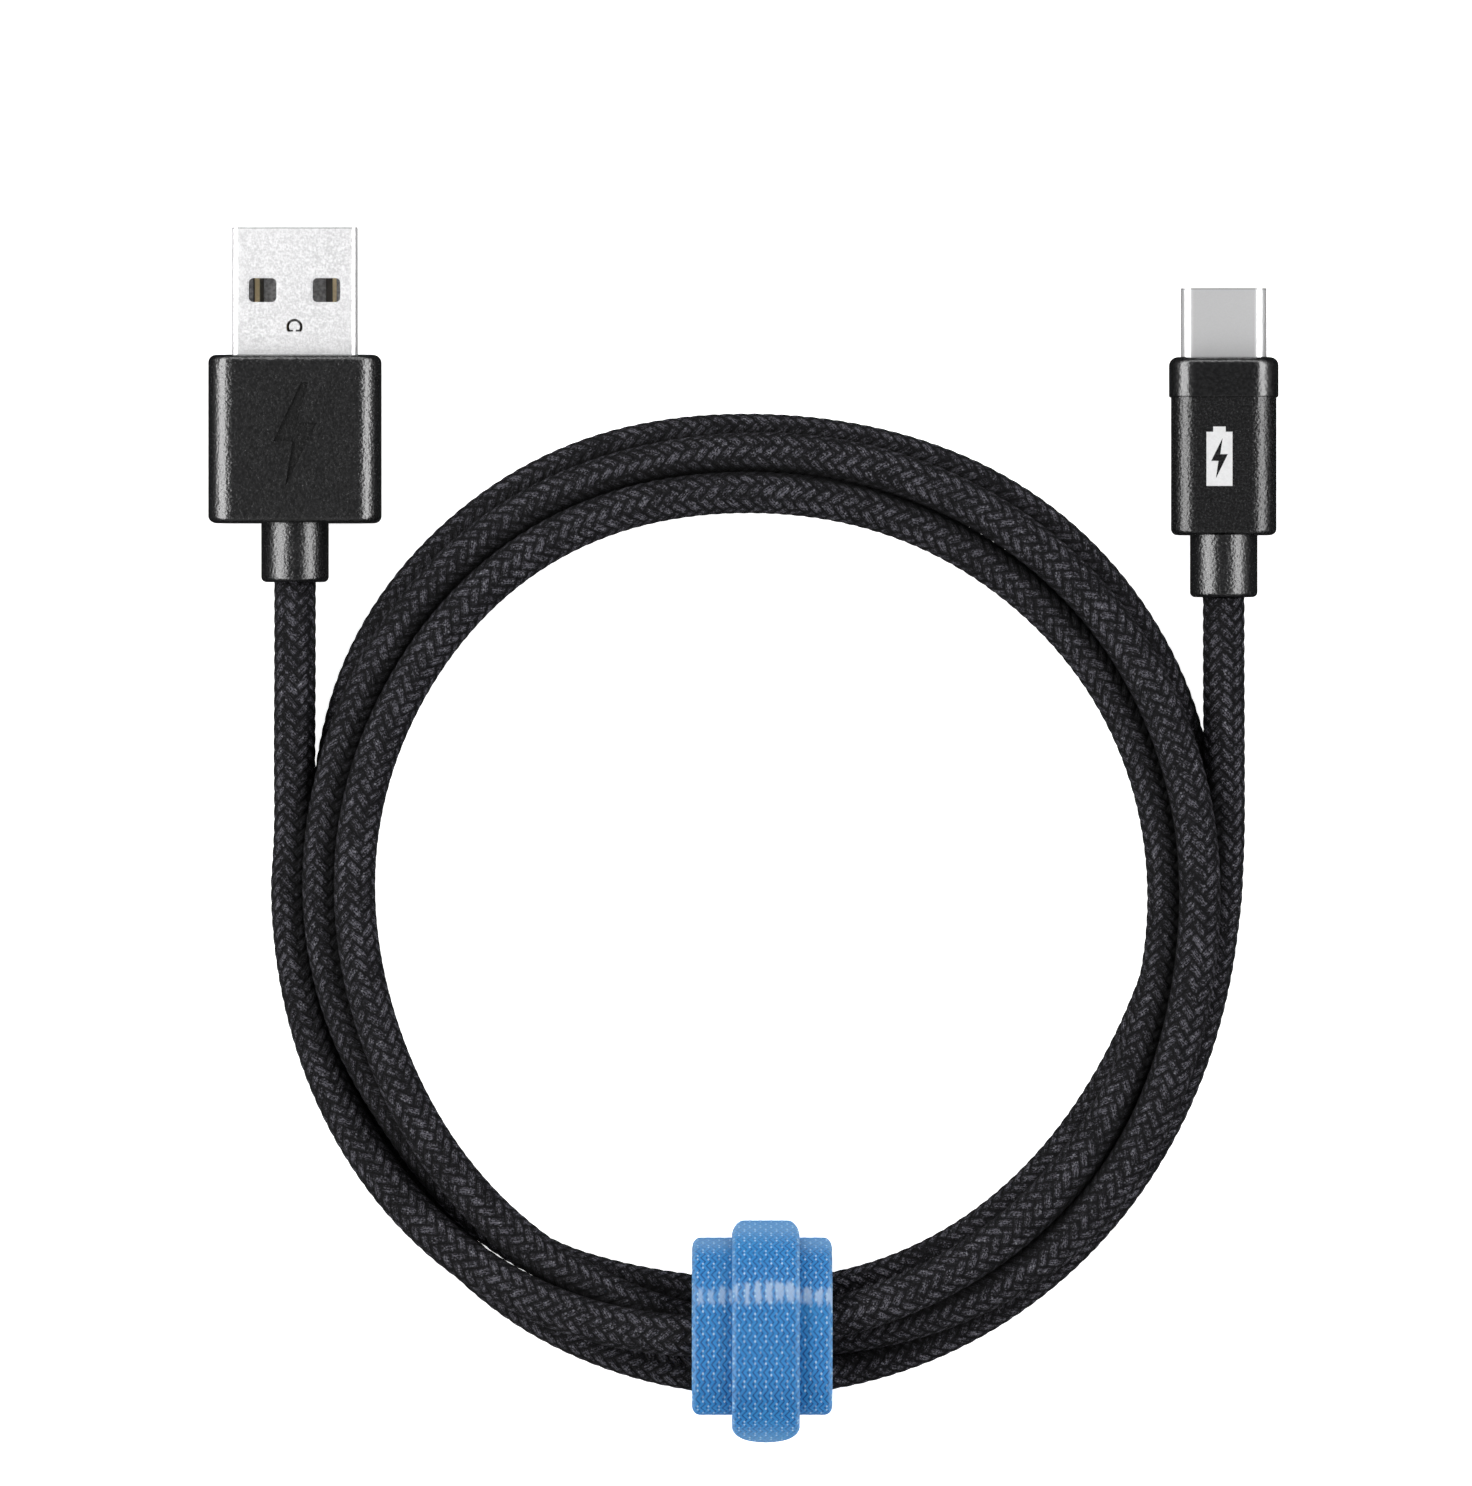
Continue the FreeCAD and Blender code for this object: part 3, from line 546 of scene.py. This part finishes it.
def knit_height(x, s):
    """Raised dots in two staggered sets, and zigzag grooves between them."""
    out = np.zeros_like(x)
    for shift in (0.0, 0.5):
        px = (x / REPEAT_X + shift) % 1.0 - 0.5
        ps = (s / REPEAT_S + shift) % 1.0 - 0.5
        for off in (-0.115, 0.115):
            out += 1.0 * np.exp(-((px * REPEAT_X / 0.11) ** 2) - (((ps - off) * REPEAT_S / 0.15) ** 2))
    zig = 0.22 * (2 * np.abs(2 * ((s / (REPEAT_S / 2)) % 1.0) - 1) - 1)
    gx = ((x + zig) / (REPEAT_X / 2) + 0.5) % 1.0 - 0.5
    out -= 0.7 * np.exp(-((gx * REPEAT_X / 2 / 0.075) ** 2))
    return out


half = strap_half_width(strap_s)
normal = np.gradient(strap_line, axis=0)
normal /= np.linalg.norm(normal, axis=1)[:, None]
normal = np.stack([-normal[:, 1], normal[:, 0]], -1)  # points away from the turns on the way over
across_n = 118
edge_n = 7
half_t = STRAP_T / 2
tail_mix = smooth01((strap_s - s_taper0) / (s_taper1 - s_taper0))
centre_x = BAND_X * (1 - tail_mix) + TAIL_X * tail_mix
rows = []
uv_rows = []
for i in range(len(strap_s)):
    w = half[i]
    er = min(half_t * 0.92, w)
    xs_top = np.linspace(-(w - er), w - er, across_n)
    th = np.linspace(0, np.pi, edge_n + 2)[1:-1]
    x = np.concatenate([xs_top, (w - er) + er * np.sin(th), xs_top[::-1], -(w - er) - er * np.sin(th)])
    n = np.concatenate([np.full(across_n, half_t), half_t * np.cos(th), np.full(across_n, -half_t), -half_t * np.cos(th)])
    rows.append(np.stack([x, n], -1))
rows = np.array(rows)
sgn = np.sign(rows[..., 1]) * (np.abs(rows[..., 1]) > half_t * 0.98)
relief = knit_height(rows[..., 0], np.broadcast_to(strap_s[:, None], rows.shape[:2]))
fade = smooth01((half[:, None] - np.abs(rows[..., 0]) - 0.25) / 0.5)
thick = rows[..., 1] + sgn * 0.035 * relief * fade
pos_r = strap_line[:, 0][:, None] + normal[:, 0][:, None] * thick
pos_z = strap_line[:, 1][:, None] + normal[:, 1][:, None] * thick
pos_x = centre_x[:, None] + rows[..., 0]
sv = np.stack([(pos_x + CX0) * MM, (-pos_r + CY0) * MM, np.maximum(pos_z, 0.02) * MM], -1)
n_s, n_c = sv.shape[:2]
verts = sv.reshape(-1, 3)
row = np.arange(n_s - 1)[:, None] * n_c
col = np.arange(n_c)[None, :]
nxt = (col + 1) % n_c
quads = np.stack([row + col, row + nxt, row + n_c + nxt, row + n_c + col], axis=-1).reshape(-1, 4)
uvp = np.stack([rows[..., 0] , np.broadcast_to(strap_s[:, None], rows.shape[:2])], -1).reshape(-1, 2)
ends = [list(range(n_c))[::-1], [(n_s - 1) * n_c + k for k in range(n_c)]]
face_list = list(quads) + ends
loops = np.concatenate([np.asarray(f) for f in face_list])
strap = mesh_object("hook_and_loop_strap", verts, face_list, uvp[loops], "weave")
# distance from the nearest edge of the strip, for the paler border
edge_attr = strap.data.attributes.new("edge", "FLOAT", "POINT")
edge_attr.data.foreach_set("value", np.repeat(half, n_c).astype(np.float32) - np.abs(rows[..., 0]).astype(np.float32).ravel())


# where the painted highlight bands lie along the strip, and how far they reach
PAINTED_GLOSS_BANDS = [(s_at((37.9, 12.6)), 0.95), (s_at((37.6, 13.72), s_taper1), 1.2)]
PALE = [
    (s_at((34.6, 10.3)), s_at((33.2, 7.0))),
    (s_at((33.6, 10.8), s_taper1), s_at((31.8, 7.0), s_taper1)),
    (s_at((49.6, 11.6), s_taper1), s_at((51.3, 8.3), s_taper1)),
]


def strap_material():
    m, nt, bsdf = new_material("strap_knit")
    uvn = nt.nodes.new("ShaderNodeUVMap")
    uvn.uv_map = "weave"
    sep = nt.nodes.new("ShaderNodeSeparateXYZ")
    nt.links.new(uvn.outputs[0], sep.inputs[0])
    x, s = sep.outputs[0], sep.outputs[1]

    def cell(v, size, shift):
        q = calc(nt, "ADD", calc(nt, "DIVIDE", v, size), 200.0 + shift)
        return calc(nt, "SUBTRACT", calc(nt, "FRACT", q), 0.5)

    dots = None
    for shift in (0.0, 0.5):
        px = calc(nt, "MULTIPLY", cell(x, REPEAT_X, shift), REPEAT_X / 0.105)
        ps = cell(s, REPEAT_S, shift)
        for off in (-0.115, 0.115):
            q = calc(nt, "MULTIPLY", calc(nt, "SUBTRACT", ps, off), REPEAT_S / 0.15)
            d = calc(nt, "ADD", calc(nt, "MULTIPLY", px, px), calc(nt, "MULTIPLY", q, q))
            e = ramp(nt, d, 0.25, 1.3, 1.0, 0.0)
            dots = e if dots is None else calc(nt, "MAXIMUM", dots, e)
    fs = calc(nt, "FRACT", calc(nt, "ADD", calc(nt, "DIVIDE", s, REPEAT_S / 2), 200.0))
    tri = calc(nt, "SUBTRACT", calc(nt, "MULTIPLY", calc(nt, "ABSOLUTE", calc(nt, "SUBTRACT", calc(nt, "MULTIPLY", fs, 2.0), 1.0)), 2.0), 1.0)
    zx = calc(nt, "ADD", x, calc(nt, "MULTIPLY", tri, 0.22))
    gx = calc(nt, "SUBTRACT", calc(nt, "FRACT", calc(nt, "ADD", calc(nt, "DIVIDE", zx, REPEAT_X / 2), 200.5)), 0.5)
    groove = ramp(nt, calc(nt, "ABSOLUTE", gx), 0.06, 0.22, 1.0, 0.0)
    rib = ramp(nt, calc(nt, "ABSOLUTE", gx), 0.22, 0.5, 0.0, 1.0)
    oc = object_coords(nt)
    cloud = noise(nt, oc, 420.0, 3.0, 0.6)
    fuzz = noise(nt, oc, 2600.0, 3.0, 0.7)
    base = mix_colour(nt, cloud, (0.010, 0.145, 0.430, 1), (0.020, 0.220, 0.550, 1))
    base = mix_colour(nt, calc(nt, "MULTIPLY", rib, 0.30), base, (0.050, 0.25, 0.55, 1))
    base = mix_colour(nt, calc(nt, "MULTIPLY", groove, 0.9), base, (0.001, 0.030, 0.145, 1))
    # milky border where the strip's edges are heat cut
    att = nt.nodes.new("ShaderNodeAttribute")
    att.attribute_name = "edge"
    border = ramp(nt, att.outputs["Fac"], 0.10, 0.55, 1.0, 0.0)
    border = calc(nt, "MULTIPLY", border, ramp(nt, noise(nt, oc, 700.0, 2.0), 0.3, 0.6, 0.55, 1.0))
    base = mix_colour(nt, calc(nt, "MULTIPLY", border, 0.5), base, (0.20, 0.38, 0.62, 1))
    # painted highlight: a whitish gloss band, in ribs, where the strip is bent hardest over the turns
    rib_x = calc(nt, "ABSOLUTE", calc(nt, "SUBTRACT", calc(nt, "FRACT", calc(nt, "ADD", calc(nt, "DIVIDE", x, REPEAT_X), 200.25)), 0.5))
    ribs = ramp(nt, calc(nt, "ADD", rib_x, calc(nt, "MULTIPLY", calc(nt, "SUBTRACT", cloud, 0.5), 1.2)), 0.10, 0.36, 1.0, 0.15)
    gloss_band = None
    for where, reach in PAINTED_GLOSS_BANDS:
        d = calc(nt, "ABSOLUTE", calc(nt, "SUBTRACT", s, where))
        d = calc(nt, "ADD", d, calc(nt, "MULTIPLY", calc(nt, "SUBTRACT", noise(nt, scaled(nt, oc, 1, 0.25, 0.25), 2400.0, 2.0), 0.5), 1.5))
        e = ramp(nt, d, reach * 0.45, reach, 1.0, 0.0)
        gloss_band = e if gloss_band is None else calc(nt, "MAXIMUM", gloss_band, e)
    base = mix_colour(nt, calc(nt, "MULTIPLY", calc(nt, "MULTIPLY", gloss_band, ribs), 0.84), base, (0.38, 0.50, 0.68, 1))
    # paler where it turns down at both ends of the loop
    pale = None
    for lo, hi in PALE:
        reach = abs(hi - lo)
        e = ramp(nt, calc(nt, "ABSOLUTE", calc(nt, "SUBTRACT", s, hi)), 0.0, reach * 1.15, 1.0, 0.0)
        pale = e if pale is None else calc(nt, "MAXIMUM", pale, e)
    # the turn-downs and random patches are paler
    base = mix_colour(nt, calc(nt, "MULTIPLY", pale, 0.55), base, (0.17, 0.33, 0.53, 1))
    haze = ramp(nt, noise(nt, scaled(nt, oc, 1.0, 1.0, 1.0), 160.0, 3.0, 0.6), 0.45, 0.75, 0.0, 0.4)
    base = mix_colour(nt, haze, base, (0.03, 0.22, 0.50, 1))
    dotc = calc(nt, "MULTIPLY", dots, ramp(nt, noise(nt, oc, 1500.0, 1.0), 0.3, 0.55, 0.35, 1.0))
    base = mix_colour(nt, dotc, base, (0.36, 0.55, 0.72, 1))
    base = mix_colour(nt, ramp(nt, fuzz, 0.35, 0.75, 0.0, 0.20), base, (0.055, 0.29, 0.62, 1))
    nt.links.new(base, bsdf.inputs["Base Color"])
    bsdf.inputs["Roughness"].default_value = 0.48
    bsdf.inputs["Specular IOR Level"].default_value = 0.07
    bsdf.inputs["Sheen Weight"].default_value = 0.05
    bsdf.inputs["Sheen Roughness"].default_value = 0.35
    bsdf.inputs["Sheen Tint"].default_value = (0.75, 0.87, 1.0, 1)
    h = calc(nt, "ADD", calc(nt, "SUBTRACT", dots, calc(nt, "MULTIPLY", groove, 1.0)), calc(nt, "MULTIPLY", fuzz, 0.5))
    nt.links.new(bump(nt, h, 0.00005, 0.8), bsdf.inputs["Normal"])
    return m


strap.data.materials.append(strap_material())
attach(strap, "strap")
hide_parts("strap")
strap_area = float(np.trapezoid(2 * half, strap_s)) * MM * MM if hasattr(np, "trapezoid") else float(np.trapz(2 * half, strap_s)) * MM * MM


# ---------------------------------------------------------------- plug materials
def metal(name, colour, rough, grain_scale, grain, metallic=1.0, depth=0.00002, highlight_stripe=None, mouth=None):
    m, nt, bsdf = new_material(name)
    oc = object_coords(nt)
    g1 = noise(nt, oc, grain_scale, 2.0, 0.6)
    g2 = noise(nt, oc, grain_scale * 0.45, 3.0, 0.5)
    sparkle = voronoi(nt, oc, grain_scale * 1.3)["Distance"]
    v = calc(nt, "ADD", calc(nt, "MULTIPLY", g1, 0.75), calc(nt, "MULTIPLY", g2, 0.25))
    dark = tuple(c * (1 - grain) for c in colour[:3]) + (1,)
    light = tuple(min(1, c * (1 + grain * 0.6)) for c in colour[:3]) + (1,)
    base = mix_colour(nt, ramp(nt, v, 0.36, 0.64), dark, light)
    # painted shade: the side walls are painted darker grey than the pressed faces
    tc = nt.nodes.new("ShaderNodeTexCoord")
    sep = nt.nodes.new("ShaderNodeSeparateXYZ")
    nt.links.new(tc.outputs["Normal"], sep.inputs[0])
    wall_shade = ramp(nt, calc(nt, "ABSOLUTE", sep.outputs[2]), 0.05, 0.60, 0.45, 0.0)
    base = mix_colour(nt, wall_shade, base, (0.16, 0.16, 0.165, 1))
    if highlight_stripe:
        # painted highlight: bright gold along the middle of each contact, with painted shade of dark bronze on its
        # sides
        where = nt.nodes.new("ShaderNodeSeparateXYZ")
        nt.links.new(oc, where.inputs[0])
        near = None
        for x in highlight_stripe:
            d = calc(nt, "ABSOLUTE", calc(nt, "SUBTRACT", where.outputs[0], x * MM))
            e = ramp(nt, d, 0.00016, 0.00030, 1.0, 0.0)
            near = e if near is None else calc(nt, "MAXIMUM", near, e)
        base = mix_colour(nt, near, (0.075, 0.066, 0.055, 1), base)
    if mouth:
        # painted shade: the edge of the sheet round the mouth is painted darker grey
        where = nt.nodes.new("ShaderNodeSeparateXYZ")
        nt.links.new(oc, where.inputs[0])
        lip_shade = ramp(nt, where.outputs[1], (mouth - 0.20) * MM, (mouth - 0.10) * MM)
        base = mix_colour(nt, calc(nt, "MULTIPLY", lip_shade, 0.55), base, (0.22, 0.22, 0.225, 1))
    nt.links.new(base, bsdf.inputs["Base Color"])
    bsdf.inputs["Metallic"].default_value = metallic
    nt.links.new(ramp(nt, g1, 0.3, 0.7, rough - grain * 0.3, rough + grain * 0.3), bsdf.inputs["Roughness"])
    h = calc(nt, "ADD", g1, calc(nt, "MULTIPLY", sparkle, 0.5))
    nt.links.new(bump(nt, h, depth, 0.8), bsdf.inputs["Normal"])
    return m


def plastic(name, colour, rough, grain_scale, depth, tone=0.25, coat=0.0, spec=0.5, recess=None):
    m, nt, bsdf = new_material(name)
    oc = object_coords(nt)
    g1 = noise(nt, oc, grain_scale, 2.0, 0.6)
    pits = voronoi(nt, oc, grain_scale * 0.8)["Distance"]
    wear = noise(nt, oc, 420.0, 4.0, 0.6)
    dark = tuple(c * (1 - tone) for c in colour[:3]) + (1,)
    light = tuple(min(1, c * (1 + tone)) for c in colour[:3]) + (1,)
    base = mix_colour(nt, ramp(nt, calc(nt, "ADD", calc(nt, "MULTIPLY", g1, 0.92), calc(nt, "MULTIPLY", wear, 0.08)), 0.34, 0.66), dark, light)
    if recess:
        # painted shade: the floor of the sunk sign is painted darker
        x0, x1, z0, z1 = (q * MM for q in recess)
        sep = nt.nodes.new("ShaderNodeSeparateXYZ")
        nt.links.new(oc, sep.inputs[0])
        recess_shade = calc(
            nt, "MULTIPLY",
            calc(nt, "COMPARE", sep.outputs[0], (x0 + x1) / 2, (x1 - x0) / 2),
            calc(nt, "COMPARE", sep.outputs[2], (z0 + z1) / 2, (z1 - z0) / 2),
        )
        base = mix_colour(nt, calc(nt, "MULTIPLY", recess_shade, 0.75), base, (0.002, 0.002, 0.002, 1))
    nt.links.new(base, bsdf.inputs["Base Color"])
    nt.links.new(ramp(nt, calc(nt, "ADD", calc(nt, "MULTIPLY", g1, 0.9), calc(nt, "MULTIPLY", wear, 0.1)), 0.32, 0.68, rough - 0.03, rough + 0.03), bsdf.inputs["Roughness"])
    bsdf.inputs["Specular IOR Level"].default_value = spec
    if coat:
        bsdf.inputs["Coat Weight"].default_value = coat
        bsdf.inputs["Coat Roughness"].default_value = 0.24
    h = calc(nt, "ADD", g1, calc(nt, "MULTIPLY", pits, 0.6))
    normal = bump(nt, h, depth, 1.0)
    nt.links.new(normal, bsdf.inputs["Normal"])
    if coat:
        nt.links.new(normal, bsdf.inputs["Coat Normal"])
    return m


def shell_end(node_name):
    obj = nodes[node_name]
    return max((obj.matrix_world @ Vector(c)).y for c in obj.bound_box) / MM


MATS = {
    "plug_steel": metal("plug_steel", (0.745, 0.745, 0.75), 0.31, 5200.0, 0.09, 0.58, 0.000012, mouth=shell_end("usb_a_shell")),
    "tinned_shield": metal("tinned_shield", (0.62, 0.62, 0.60), 0.42, 3000.0, 0.12),
    "spring_steel": metal("spring_steel", (0.58, 0.57, 0.55), 0.30, 3000.0, 0.10),
    "gold_contact": metal("gold_contact", (1.0, 0.74, 0.36), 0.45, 3000.0, 0.06, 0.45),
    "solder": metal("solder", (0.66, 0.66, 0.67), 0.35, 2500.0, 0.12),
    # painted light: the insulator is set mid grey, lighter than black plastic, to stand in for light falling into the
    # windows
    "black_insulator": plastic("black_insulator", (0.36, 0.36, 0.365), 0.42, 2500.0, 0.00001),
    "inner_mould": plastic("inner_mould", (0.55, 0.55, 0.52), 0.55, 2500.0, 0.00003),
    "housing_black": plastic("housing_black", (0.0062, 0.0062, 0.0066), 0.245, 4200.0, 0.000040, 0.45, coat=0.09, spec=0.32, recess=(-45.6, -40.6, 7.5, 7.93)),
    "collar_black": plastic("collar_black", (0.0055, 0.0055, 0.006), 0.23, 3300.0, 0.000026, 0.4, coat=0.1, spec=0.27),
    "relief_black": plastic("relief_black", (0.0065, 0.0065, 0.007), 0.245, 4200.0, 0.000040, 0.4, coat=0.07, spec=0.26),
    "white_print": plastic("white_print", (0.60, 0.60, 0.605), 0.5, 5000.0, 0.00001, 0.04),
    "circuit_board": plastic("circuit_board", (0.010, 0.085, 0.035), 0.38, 2500.0, 0.00002, 0.2, 0.4),
    "resistor_body": plastic("resistor_body", (0.02, 0.02, 0.02), 0.4, 2500.0, 0.00002),
    "wire_red": plastic("wire_red", (0.50, 0.012, 0.010), 0.4, 2500.0, 0.00001, 0.1),
    "wire_white": plastic("wire_white", (0.72, 0.72, 0.70), 0.4, 2500.0, 0.00001, 0.05),
    "wire_green": plastic("wire_green", (0.015, 0.26, 0.045), 0.4, 2500.0, 0.00001, 0.1),
    "wire_black": plastic("wire_black", (0.015, 0.015, 0.016), 0.4, 2500.0, 0.00001, 0.2),
    "braided_sleeve": plastic("braided_sleeve", (0.02, 0.02, 0.022), 0.65, 3000.0, 0.00006, 0.5),
    "strap_blue": plastic("strap_blue", (0.05, 0.25, 0.68), 0.6, 2500.0, 0.00004, 0.2),
}


EXTRA = {
    "usb_c_housing": plastic("usb_c_body_black", (0.0062, 0.0062, 0.0066), 0.255, 4200.0, 0.000044, 0.45, coat=0.05, spec=0.20),
    "usb_c_shell": metal("usb_c_steel", (0.64, 0.64, 0.645), 0.26, 6500.0, 0.02, 0.55, 0.000002, mouth=shell_end("usb_c_shell")),
}
# gold contacts, each with a painted highlight stripe along its middle
for side_name, x in (("vbus", 3.5), ("data_minus", 1.0), ("data_plus", -1.0), ("ground", -3.5)):
    EXTRA["usb_a_contact_" + side_name] = metal(
        "gold_" + side_name, (1.0, 0.80, 0.46), 0.45, 3000.0, 0.06, 0.0, depth=0.000003,
        highlight_stripe=(-43.15 - 3.62, -43.15 + 3.86, -43.15 - 1.0, -43.15 + 1.0),
    )


def assign(node_name, slot_name):
    mesh = nodes[node_name].data
    if not mesh.materials:
        mesh.materials.append(MATS[slot_name])
    for k in range(len(mesh.materials)):
        mesh.materials[k] = MATS[slot_name]


slot_of = {}
for mat_entry in frame["record"].get("materials", []):
    for n in mat_entry.get("nodes", []) or []:
        slot_of[n] = mat_entry["slot"]
for name, obj in nodes.items():
    if name in slot_of:
        assign(name, slot_of[name])
    else:
        for k, old in enumerate(list(obj.data.materials)):
            key = old.name.split(".")[0] if old else ""
            if key in MATS:
                obj.data.materials[k] = MATS[key]


for name, special in EXTRA.items():
    mesh = nodes[name].data
    for k in range(len(mesh.materials)):
        mesh.materials[k] = special


# ---------------------------------------------------------------- floor and light
def build_floor():
    size, n = 2.4, 24
    g = np.linspace(-size / 2, size / 2, n + 1)
    X, Y = np.meshgrid(g, g)
    Z = np.zeros_like(X) - 0.00002
    v = np.stack([X, Y, Z], -1).reshape(-1, 3)
    r = np.arange(n)[:, None] * (n + 1)
    c = np.arange(n)[None, :]
    q = np.stack([r + c, r + c + 1, r + c + n + 2, r + c + n + 1], -1).reshape(-1, 4)
    floor = mesh_object("floor", v, q)
    m, nt, bsdf = new_material("pale_floor")
    f = noise(nt, object_coords(nt), 9.0, 2.0)
    nt.links.new(mix_colour(nt, f, (0.94, 0.94, 0.94, 1), (0.96, 0.96, 0.96, 1)), bsdf.inputs["Base Color"])
    bsdf.inputs["Roughness"].default_value = 0.9
    bsdf.inputs["Specular IOR Level"].default_value = 0.05
    bsdf.inputs["Emission Color"].default_value = (1, 1, 1, 1)
    bsdf.inputs["Emission Strength"].default_value = 0.85
    floor.data.materials.append(m)
    floor.visible_glossy = False


build_floor()

world = bpy.data.worlds.new("studio")
scene.world = world
world.use_nodes = True
wt = world.node_tree
bg = next(n for n in wt.nodes if n.type == "BACKGROUND")
bg.inputs["Strength"].default_value = 1.0
sky = wt.nodes.new("ShaderNodeTexCoord").outputs["Generated"]
sky_sep = wt.nodes.new("ShaderNodeSeparateXYZ")
wt.links.new(sky, sky_sep.inputs[0])
# a pale tent, darker straight overhead
tent = mix_colour(wt, ramp(wt, sky_sep.outputs[2], 0.60, 0.93), (0.72, 0.72, 0.72, 1), (0.19, 0.19, 0.19, 1))
wt.links.new(mix_colour(wt, ramp(wt, sky_sep.outputs[2], -0.10, 0.12), (0.03, 0.03, 0.03, 1), tent), bg.inputs["Color"])


def area(name, size, energy, location, target=(0, 0, 0.005), size_y=None):
    d = bpy.data.lights.new(name, "AREA")
    d.shape = "RECTANGLE"
    d.size = size
    d.size_y = size_y or size
    d.energy = energy
    o = bpy.data.objects.new(name, d)
    o.location = location
    o.rotation_euler = (Vector(target) - Vector(location)).to_track_quat("-Z", "Y").to_euler()
    scene.collection.objects.link(o)
    return o


for name, size, energy, place, size_y in (
    ("left_soft", 1.2, 2.4, (-0.50, 0.0, 0.38), 0.16),
    ("right_soft", 1.2, 1.9, (0.50, 0.0, 0.38), 0.16),
    ("back_soft", 1.0, 1.4, (0.0, 0.52, 0.36), 0.14),
):
    area(name, size, energy, place, size_y=size_y).visible_glossy = False
for name, size, energy, place, size_y in (
    ("left_glow", 1.2, 26.0, (-0.50, 0.0, 0.38), 0.24),
    ("left_glow_wide", 1.2, 19.0, (-0.51, 0.0, 0.375), 0.44),
    ("right_glow", 1.2, 13.0, (0.485, 0.0, 0.40), 0.24),
    ("right_glow_wide", 1.2, 9.0, (0.495, 0.0, 0.395), 0.42),
    ("back_glow", 1.0, 4.5, (0.0, 0.52, 0.30), 0.16),
):
    area(name, size, energy, place, size_y=size_y).visible_diffuse = False


bpy.context.view_layer.update()
